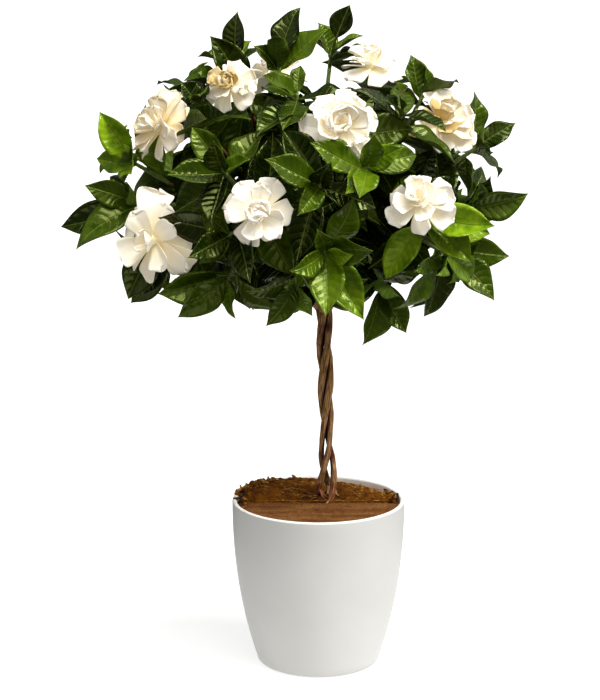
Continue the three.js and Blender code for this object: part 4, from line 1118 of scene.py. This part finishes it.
def along_arcs(root, along, face, length, bend, share, twist):
    """Places on the ribs of blades, at shares of their length, with the side and the normal there.
    The rib is an arc that starts along one direction and bends away from the face. The side is
    turned about it by the twist, and the normal is square to both."""
    turn = bend * share
    rib = root + along * (length * np.sin(turn) / bend)[..., None]
    rib = rib - face * (length * (1 - np.cos(turn)) / bend)[..., None]
    normal = face * np.cos(turn)[..., None] + along * np.sin(turn)[..., None]
    side = np.cross(along, face) * np.cos(twist)[..., None] + normal * np.sin(twist)[..., None]
    return rib, side, np.cross(side, np.cross(normal, side))


def two_sided(front, back, marks):
    """The front and back of blades as one ring at each step. Five marks are the same on both, and
    a sixth is nought on the front and one on the back."""
    sides = []
    for number, place in enumerate((front, back)):
        values = [np.broadcast_to(mark, place.shape[:-1]) for mark in (*marks, number)]
        sides.append(np.concatenate([place, np.stack(values, axis=-1)], axis=-1))
    return np.concatenate([sides[0], sides[1][:, :, ::-1]], axis=2)


def leaf_rings(leaves, rows, columns, youth, shades, seed):
    """Fine leaves on their blades' arcs. Across the rib each is a shallow V with a waved margin,
    and between its side veins it is puckered up. Its outline is a sine bent towards the tip, and
    it begins in a short round stalk. Marks: share along, share across, distance from the midrib;
    then a random shade, below nothing on the dull leaves inside the crown, where it paints them
    nearly black as painted shade; youth; and one on the underside."""
    rng = np.random.default_rng(seed)
    root, along, face, length, half, bend = settings_of(leaves, 1)
    low = (0.15, 1.0, 0, -0.45, -1, -0.22, 0, 0.1)
    high = (0.85, 3.4, 2 * np.pi, 0.45, 6, 0.22, 1, 0.45)
    draws = rng.uniform(low, high, (len(leaves), 8)).T[:, :, None]
    fold, wave, phase, twist, curl, sway, shade, quilt = draws
    stalked = np.array([leaf.get("stalk", STALK_SHARE) for leaf in leaves])[:, None]
    t = 1 - (1 - np.linspace(0, 0.985, rows)) ** 1.15
    v = np.linspace(-1, 1, columns)
    rib, side, normal = along_arcs(root, along, face, length, bend, t, twist * t)
    blade = np.clip((t - stalked) / (1 - stalked), 0, 1)
    width = np.sin(np.pi * blade**0.95) ** (0.8 + 0.5 * blade)
    width = width * half * (1 - 0.7 * (stalked - STALK_SHARE))
    rib = rib + side * (sway * half * np.sin(np.pi * t))[..., None]
    stalk = STALK_RADIUS * np.clip((stalked + 0.09 - t) / 0.16, 0, 1) ** 0.5
    reach = np.sqrt(width**2 + stalk**2)
    across = reach[..., None] * v
    far = np.abs(v)
    vein = (t[:, None] - VEIN_SWEEP * far**1.2) * VEIN_PAIRS
    pucker = (np.abs(np.sin(np.pi * vein)) - 0.6) * np.sqrt(far) * (1 - far**4) * quilt[..., None]
    lift = fold[..., None] * width[..., None] * (far**1.3 - 0.45)
    ripple = np.sin(2 * np.pi * 1.9 * t[:, None] + phase[..., None] + 1.4 * np.sign(v)) * far**1.6
    lift = lift + (wave[..., None] * ripple + pucker) * (width / half)[..., None]
    lift = lift - curl[..., None] * np.clip(t[:, None] - 0.7, 0, 1) ** 2 * 11
    upper = rib[:, :, None] + side[:, :, None] * across[..., None] + normal[:, :, None] * lift[..., None]
    thick = LEAF_THICKNESS + STALK_ROUNDNESS * stalk[..., None] * np.sqrt(np.maximum(1 - v**2, 0))
    lower = upper - normal[:, :, None] * thick[..., None]
    marks = [t[:, None], far, np.abs(across), shades * shade[..., None], np.reshape(youth, (-1, 1, 1))]
    return two_sided(upper, lower, marks)


def twig_rings(paths, radii, corners):
    """Twigs, calyxes and the like as limbs, with marks that match those of the leaves."""
    rings = limbs(paths, radii, corners)
    return np.concatenate([rings, np.zeros(rings.shape[:-1] + (3,))], axis=-1)


# A gardenia leaf: thick and leathery under a clear wax, so it is deep green with small broken
# highlights between its sunken veins. The underside is pale and nearly matt, and a young leaf is
# a bright yellow green. Old leaves inside the crown are the same but painted nearly black, as
# painted shade deep in the crown, and have hardly a glint.
def leaf_skin(name, gloss):
    """The leaf material: its colours, veins and quilted relief, with a gloss of its own."""
    skin = new_material(name)
    blade = add_node(skin, "Attribute", {}, attribute_name="blade").outputs["Vector"]
    kind = add_node(skin, "Attribute", {}, attribute_name="kind").outputs["Vector"]
    place = add_node(skin, "TexCoord", {}).outputs["Object"]
    where = add_node(skin, "SeparateXYZ", {"Vector": blade}).outputs
    which = add_node(skin, "SeparateXYZ", {"Vector": kind}).outputs
    sweep = add_node(skin, "Math", {0: where["Y"], 1: 1.2}, operation="POWER")
    vein_at = add_node(skin, "Math", {0: sweep, 1: -VEIN_SWEEP, 2: where["X"]}, operation="MULTIPLY_ADD")
    mottle = add_node(skin, "TexNoise", {"Vector": place, "Scale": 1 / (11 * MM), "Detail": 4.0})
    wander = add_node(skin, "Math", {0: mottle, 1: 0.09, 2: vein_at}, operation="MULTIPLY_ADD")
    vein_count = add_node(skin, "Math", {0: wander, 1: VEIN_PAIRS}, operation="MULTIPLY")
    from_vein = add_node(skin, "Math", {0: vein_count, 1: 0.5}, operation="PINGPONG")
    side_vein = add_node(skin, "MapRange", {"Value": from_vein, "From Min": 0.1, "From Max": 0.0})
    midrib = add_node(skin, "MapRange", {"Value": where["Z"], "From Min": 1.0, "From Max": 0.35})
    inner = add_node(skin, "MapRange", {"Value": where["Y"], "From Min": 0.95, "From Max": 0.6})
    fading_vein = add_node(skin, "Math", {0: side_vein, 1: inner}, operation="MULTIPLY")
    # The shade mark varies the tone at random on the outer leaves; below nothing, on the inner leaves, it
    # paints them darkest as painted shade
    patchy = add_node(skin, "Math", {0: mottle, 1: 0.7, 2: which["X"]}, operation="MULTIPLY_ADD")
    old = add_node(skin, "ValToRGB", {"Fac": patchy}, stops=[
        (0.25, "#040a00"), (1.05, "#2e3f02"), (0.7, "#122000"),
    ])
    young = add_node(skin, "ValToRGB", {"Fac": mottle}, stops=[(0.35, "#56780a"), (0.65, "#86a41a")])
    fresh = add_node(skin, "Mix", {0: which["Y"], 6: old, 7: young}, data_type="RGBA")
    veined = add_node(skin, "Math", {0: fading_vein, 1: 0.07}, operation="MULTIPLY")
    with_veins = add_node(skin, "Mix", {0: veined, 6: fresh, 7: linear("#7e9030")}, data_type="RGBA")
    ribbed = add_node(skin, "Math", {0: midrib, 1: 0.25}, operation="MULTIPLY")
    with_midrib = add_node(skin, "Mix", {0: ribbed, 6: with_veins, 7: linear("#869a38")}, data_type="RGBA")
    paler = add_node(skin, "Math", {0: which["Z"], 1: 0.6}, operation="MULTIPLY")
    tone = add_node(skin, "Mix", {0: paler, 6: with_midrib, 7: linear("#4c611c")}, data_type="RGBA")
    rough = add_node(skin, "MapRange", {"Value": which["Z"], "To Min": 0.17, "To Max": 0.55})
    dull = add_node(skin, "Math", {0: which["X"], 1: 0.0}, operation="MINIMUM")
    rougher = add_node(skin, "Math", {0: dull, 1: -2.5, 2: rough}, operation="MULTIPLY_ADD")
    bulge = add_node(skin, "Math", {0: from_vein, 1: 0.6}, operation="POWER")
    groove = add_node(skin, "Math", {0: midrib, 1: -0.8, 2: bulge}, operation="MULTIPLY_ADD")
    quilt = add_node(skin, "Math", {0: mottle, 1: 0.7, 2: groove}, operation="MULTIPLY_ADD")
    relief = add_node(skin, "Bump", {"Height": quilt, "Strength": 1.0, "Distance": 0.6 * MM})
    shader = add_node(skin, "BsdfPrincipled", {
        "Base Color": tone, "Roughness": rougher, "Normal": relief, "IOR": 1.45,
        "Specular IOR Level": gloss, "Specular Tint": linear("#dcec88"),
    })
    add_node(skin, "OutputMaterial", {"Surface": shader})
    return skin


waxy_leaf = leaf_skin("waxy gardenia leaf", 0.55)
# The inner leaves' copy: almost no gloss, and their near-black tone is painted shade
shaded_inner_leaf = leaf_skin("old gardenia leaf in painted shade", 0.08)

# Green twig bark and calyx: soft, lightly ribbed and satin, a yellower green than the leaves.
green_twig = new_material("soft green twig")
blade = add_node(green_twig, "Attribute", {}, attribute_name="blade").outputs["Vector"]
ribs = add_node(green_twig, "Mapping", {"Vector": blade, "Scale": (1, 1, 0.15)})
streak = add_node(green_twig, "TexNoise", {"Vector": ribs, "Scale": 1.1, "Detail": 4.0})
tone = add_node(green_twig, "ValToRGB", {"Fac": streak}, stops=[(0.35, "#4d6424"), (0.65, "#86994a")])
relief = add_node(green_twig, "Bump", {"Height": streak, "Strength": 0.5, "Distance": 0.3 * MM})
shader = add_node(green_twig, "BsdfPrincipled", {"Base Color": tone, "Roughness": 0.5, "Normal": relief})
add_node(green_twig, "OutputMaterial", {"Surface": shader})

SEPAL = {"count": 6, "length": 13, "spread": 3.2, "radius": 1.1}
TWIG_KNOTS = {"count": 4, "swell": 0.35}


def shoot_wood(shoot):
    """A shoot's twig with a faint swelling at each node, its growing point, and for a bloom the
    ribbed calyx with its narrow sepals laid against the petals."""
    t = np.linspace(0, 1, 20)
    path = shoot["foot"] + (shoot["tip"] - shoot["foot"]) * t[:, None]
    swell = TWIG_KNOTS["swell"] * np.cos(2 * np.pi * TWIG_KNOTS["count"] * t) ** 6
    radii = TWIG["foot"] + (TWIG["tip"] - TWIG["foot"]) * t + swell
    wood = [closed_tubes(twig_rings(path[None], radii[None], 10))]
    t = np.linspace(0, 1, 9)
    first, second = cross_frame(shoot["grows"])
    if not shoot["bloom"]:
        point = shoot["tip"] + shoot["grows"] * (7 * t[:, None] - 1)
        return wood + [closed_tubes(twig_rings(point[None], 1.5 * np.sqrt(1 - 0.98 * t)[None], 8))]
    cup = shoot["tip"] + shoot["grows"] * ((CALYX["length"] + 1) * t[:, None] - 1)
    cup_radii = CALYX["foot"] + (CALYX["mouth"] - CALYX["foot"]) * t**0.7
    wood.append(closed_tubes(twig_rings(cup[None], cup_radii[None], 12)))
    bearing = bearings(SEPAL["count"])[:, None]
    out = first * np.cos(bearing) + second * np.sin(bearing)
    foot = shoot["tip"] + shoot["grows"] * (CALYX["length"] - 1) + out * (CALYX["mouth"] - 0.5)
    way = shoot["grows"] * SEPAL["length"] * t[None, :, None]
    way = way + out[:, None] * (SEPAL["spread"] * t**2)[None, :, None]
    radii = np.broadcast_to(SEPAL["radius"] * (1 - t) ** 0.7 + 0.1, (SEPAL["count"], len(t)))
    return wood + [closed_tubes(twig_rings(foot[:, None] + way, radii, 6))]


# How young the leaves are, on the shoots where it isn't the usual
YOUTH = {"08": 1.1, "09": 0.65, "11": 0.65, "15": 0.6, "17": 1.0}

for shoot in shoots:
    leaves = [part["leaf"] for part in kept if part["leaf"] and part["shoot"] == shoot["number"]]
    rng = np.random.default_rng(shoot["seed"])
    ages = np.array([leaf["age"] for leaf in leaves])
    youth = YOUTH.get(shoot["number"], USUAL_YOUTH) - 0.5 * ages + rng.uniform(-0.15, 0.2, len(leaves))
    blades = closed_tubes(leaf_rings(leaves, *FINE_LEAF, np.clip(youth, 0, 1), 1, shoot["seed"]))
    whole = joined([blades, joined(shoot_wood(shoot))])
    node = f"shoot_{shoot['number']}"
    add_piece("leafy_" + node, whole, [waxy_leaf, green_twig], ["blade", "kind"], [node])

# The inner leaves: older leaves along the branches, deep in the crown, which close it so that
# hardly any light comes through. They are plainer and duller than the outer ones, and painted
# nearly black as painted shade.
INNER_LEAVES = 15
INNER_REACH = 1.04
PLAIN_LEAF = (12, 5)


def inner_leaves(stem):
    """Leaves spread along a stem's branches. Each is turned until its plain blade, past the foot,
    clears everything so far, and left out if its tip would stand out of the crown's ellipsoid."""
    found = []
    for bough in plan:
        if bough["stem"] != stem:
            continue
        for fork, shoot in bough["branches"]:
            draw = draws_from(shoot["seed"] + 11)
            way = shoot["foot"] - fork
            for i in range(INNER_LEAVES):
                place = fork + way * (0.1 + 0.86 * (i + next(draw)) / INNER_LEAVES)
                bearing = math.radians(shoot["turn"]) + i * GOLDEN_TURN + next(draw)
                tilt = math.radians(45 + 50 * next(draw))
                length = LEAF["length"] * (0.5 + 0.4 * next(draw))
                bend = 0.3 + 0.5 * next(draw)
                for turn, lean, share in TURNS:
                    angles = (bearing + math.radians(turn), tilt + math.radians(lean))
                    leaf = spread_leaf(unit(way), place, *angles, length * share, bend)
                    rings = blade_rings(leaf, LEAF_STATIONS)
                    outer = outline_of(rings, 1)
                    far = np.linalg.norm((rings[0][-1] - CROWN_CENTRE) / CROWN_REACH)
                    if far > INNER_REACH or touches(outer, [part["whole"] for part in kept]):
                        continue
                    kept.append(dict(shoot="inner", whole=outline_of(rings, 0), outer=outer, leaf=None))
                    found.append(leaf)
                    break
    return found


for stem in range(3):
    leaves = inner_leaves(stem)
    youth = np.random.default_rng(71 + stem).uniform(0, 0.15, len(leaves))
    # A shade below nothing paints these leaves nearly black: painted shade deep in the crown
    blades = closed_tubes(leaf_rings(leaves, *PLAIN_LEAF, youth, -0.25, 81 + stem))
    add_piece(f"inner_leaves_{stem + 1}", blades, [shaded_inner_leaf], ["blade", "kind"])

# The blooms: double gardenias with a short greenish tube, petals in overlapping layers as thick
# and soft as kid leather, and a tight swirled heart. They open white and turn cream, then ochre.
PETAL_THICKNESS = 0.7
BLOOM_TUBE = 20
# Age, how much it differs from petal to petal, and the age of the heart
BLOOM_AGES = {
    "01": (0.9, 0.3, 1.1), "02": (0.9, 0.9, 2.4), "03": (0.3, 0.3, 1.1), "04": (0.25, 0.2, 0.7),
    "05": (0.85, 1.5, 1.5), "06": (0.5, 0.2, 0.6), "07": (0.0, 0.05, 0.15), "08": (0.15, 0.1, 0.6),
    "32": (0.3, 0.3, 0.6), "35": (0.1, 0.1, 0.3),
}
# How far the heart has opened, and how many of its whorls the bloom still holds
HEARTS = {
    "01": (0.7, 2), "02": (0.3, 3), "03": (0.0, 2), "04": (0.9, 3), "05": (0.5, 2),
    "06": (1.0, 1), "07": (0.15, 4), "08": (0.4, 2), "32": (0.2, 4), "35": (0.0, 4),
}
INNER_WHORLS = [
    dict(petals=3, tilt=60, size=0.86, root=12, bend=0.2, breadth=0.66),
    dict(petals=5, tilt=36, size=0.62, root=13, bend=-0.5, breadth=0.72),
    dict(petals=4, tilt=20, size=0.56, root=13, bend=-0.9, breadth=0.8),
    dict(petals=3, tilt=6, size=0.5, root=13, bend=-1.3, breadth=0.8),
]


def inner_petals(shoot):
    """The petals inside the three main whorls: shorter and narrower ones, crowded and set at
    random bearings, that curl in over the middle until they close it."""
    draw = draws_from(shoot["seed"] + 13)
    opened, whorls = HEARTS[shoot["number"]]
    petals = []
    for depth, row in enumerate(INNER_WHORLS[:whorls]):
        for i in range(row["petals"]):
            bearing = 2 * np.pi * (i + 0.7 * next(draw)) / row["petals"] + depth + math.radians(shoot["turn"])
            lean = math.radians(row["tilt"] * (1 + 0.25 * opened)) + 0.35 * (next(draw) - 0.5)
            length = PETAL["length"] * shoot["size"] * row["size"] * (0.85 + 0.3 * next(draw))
            length = length * (1 + 0.3 * opened)
            bend = row["bend"] * (0.7 + 0.6 * next(draw)) + 0.9 * opened
            bend = bend if abs(bend) > 0.05 else 0.05
            petal = petal_at(shoot, bearing, lean, length, row["root"], bend, 3)
            petals.append({**petal, "half": length * row["breadth"] * 0.5, "depth": depth})
    return petals


def petal_rings(petals, shoot):
    """Fine petals on their blades' arcs: broadest near a blunt end that is rounded off or lightly
    notched, cupped across, rolled back at the tip, with a ruffled margin. The marks are those of
    the leaves: share along, share across and distance from the rib; then a random shade, age, and
    one on the back."""
    rng = np.random.default_rng(shoot["seed"] + 3)
    rows, columns = 18, 13
    root, along, face, length, half, bend = settings_of(petals, 2)
    depth = np.array([petal.get("depth", 0.5 * petal["whorl"] - 1) for petal in petals])[:, None, None]
    inner = np.clip((depth + 1) / 3, 0, 1)
    age, spread, heart_age = BLOOM_AGES[shoot["number"]]
    low = (-0.1, 0.7, 0, 0, -0.25, -0.4, 0.92, 0, -0.04, 0)
    high = (0.3, 2 + 1.6 * age, 2 * np.pi, 2 * np.pi, 0.25, 0.4, 1.18, 0.06, 0.07, 1)
    draws = rng.uniform(low, high, (len(petals), 10)).T[:, :, None, None]
    cup, ruffle, phase, other_phase, sway, twist, broad, notch, rounding, shade = draws
    t = (1 - (1 - np.linspace(0, 0.985, rows)) ** 2)[:, None]
    v = np.linspace(-1, 1, columns)
    scallop = 0.02 * np.sin(5 * v + phase) + 0.008 * np.sin(11 * v + other_phase)
    share = t - t**5 * ((0.1 + rounding) * v**2 + notch * np.exp(-((v / 0.22) ** 2)) + scallop)
    rib, side, normal = along_arcs(root, along, face, length, bend, share, twist * t)
    width = half * broad * 1.2 * t**0.7 * (1 - t**10) ** 0.4 * (1 + 0.05 * np.sin(5 * t + phase))
    across = np.maximum(width, 0.8) * v
    bowl = (cup + 0.55 * inner) * width * (v**2 - 0.35)
    roll = (0.4 * inner - 0.35) * length * np.clip(t - 0.6, 0, 1) ** 2
    waves = 0.75 * np.sin(3.3 * v + phase + 2 * t) + 0.25 * np.sin(6.4 * v + other_phase + 3 * t)
    crease = -0.8 * np.exp(-((v / 0.14) ** 2)) * np.sin(np.pi * t)
    lift = bowl + roll + ruffle * (1 - 0.4 * inner) * waves * t**2 + crease
    sideways = across + sway * half * np.sin(0.9 * np.pi * t)
    front = rib + side * sideways[..., None] + normal * lift[..., None]
    grown_old = age + spread * (shade - 0.5) + (heart_age - age) * np.clip(inner * 1.6 - 0.6, 0, 1)
    marks = [t, np.abs(v), np.abs(across), shade, grown_old]
    return two_sided(front, front - normal * PETAL_THICKNESS, marks)


# A gardenia petal: thick, soft and matt. It is white, creamy towards its foot, and browns from the
# margin inwards as it ages. The faint glow is painted light, in the petal's own colour, that stands
# for the daylight coming through it into the folds.
petal_skin = new_material("soft gardenia petal")
blade = add_node(petal_skin, "Attribute", {}, attribute_name="blade").outputs["Vector"]
kind = add_node(petal_skin, "Attribute", {}, attribute_name="kind").outputs["Vector"]
place = add_node(petal_skin, "TexCoord", {}).outputs["Object"]
where = add_node(petal_skin, "SeparateXYZ", {"Vector": blade}).outputs
which = add_node(petal_skin, "SeparateXYZ", {"Vector": kind}).outputs
blush = add_node(petal_skin, "TexNoise", {"Vector": place, "Scale": 1 / (14 * MM), "Detail": 3.0})
white = add_node(petal_skin, "ValToRGB", {"Fac": where["X"]}, stops=[
    (0.05, "#f0e3a8"), (0.7, "#fcf4e3"), (0.3, "#faf1d6"),
])
cream = add_node(petal_skin, "ValToRGB", {"Fac": where["X"]}, stops=[
    (0.05, "#e4cf90"), (0.9, "#f8efdb"), (0.4, "#f4e8c9"),
])
clouded = add_node(petal_skin, "Math", {0: blush, 1: 0.5, 2: which["Y"]}, operation="MULTIPLY_ADD")
creamy = add_node(petal_skin, "MapRange", {"Value": clouded, "From Min": 0.3, "From Max": 1.0})
tone = add_node(petal_skin, "Mix", {0: creamy, 6: white, 7: cream}, data_type="RGBA")
edge = add_node(petal_skin, "Math", {0: where["Y"], 1: where["X"]}, operation="MULTIPLY")
turning = add_node(petal_skin, "Math", {0: edge, 1: 0.35, 2: clouded}, operation="MULTIPLY_ADD")
golden = add_node(petal_skin, "MapRange", {
    "Value": turning, "From Min": 1.25, "From Max": 1.75, "To Max": 0.85,
})
aged = add_node(petal_skin, "Mix", {0: golden, 6: tone, 7: linear("#b6973c")}, data_type="RGBA")
lengthwise = add_node(petal_skin, "Mapping", {"Vector": blade, "Scale": (0.8, 9, 0.4)})
crinkle = add_node(petal_skin, "TexNoise", {"Vector": lengthwise, "Scale": 1.6, "Detail": 3.0})
relief = add_node(petal_skin, "Bump", {"Height": crinkle, "Strength": 0.35, "Distance": 0.6 * MM})
# The emission is painted light: a faint glow in the petal's own colour for light shining through it
shader = add_node(petal_skin, "BsdfPrincipled", {
    "Base Color": aged, "Roughness": 0.6, "Normal": relief, "Subsurface Weight": 0.2,
    "Subsurface Radius": (1.0, 1.0, 1.0), "Subsurface Scale": 1 * MM, "Sheen Weight": 0.1,
    "Emission Color": aged, "Emission Strength": 0.1,
})
add_node(petal_skin, "OutputMaterial", {"Surface": shader})

for shoot in shoots:
    if not shoot["bloom"]:
        continue
    petals = bloom_petals(shoot) + inner_petals(shoot)
    t = np.linspace(0, 1, 14)
    tube = shoot["tip"] + shoot["grows"] * (CALYX["length"] + 0.3 + BLOOM_TUBE * t[:, None])
    tube_radii = 3 + 1.2 * t + 2.6 * np.sin(np.pi * np.clip(t * 1.3 - 0.3, 0, 1))
    tube_body = twig_rings(tube[None], tube_radii[None], 16)
    tube_body[..., 3] = 0.2
    bodies = [closed_tubes(petal_rings(petals, shoot)), closed_tubes(tube_body)]
    node = f"bloom_{shoot['number']}"
    add_piece("double_" + node, joined(bodies), [petal_skin], ["blade", "kind"], [node])
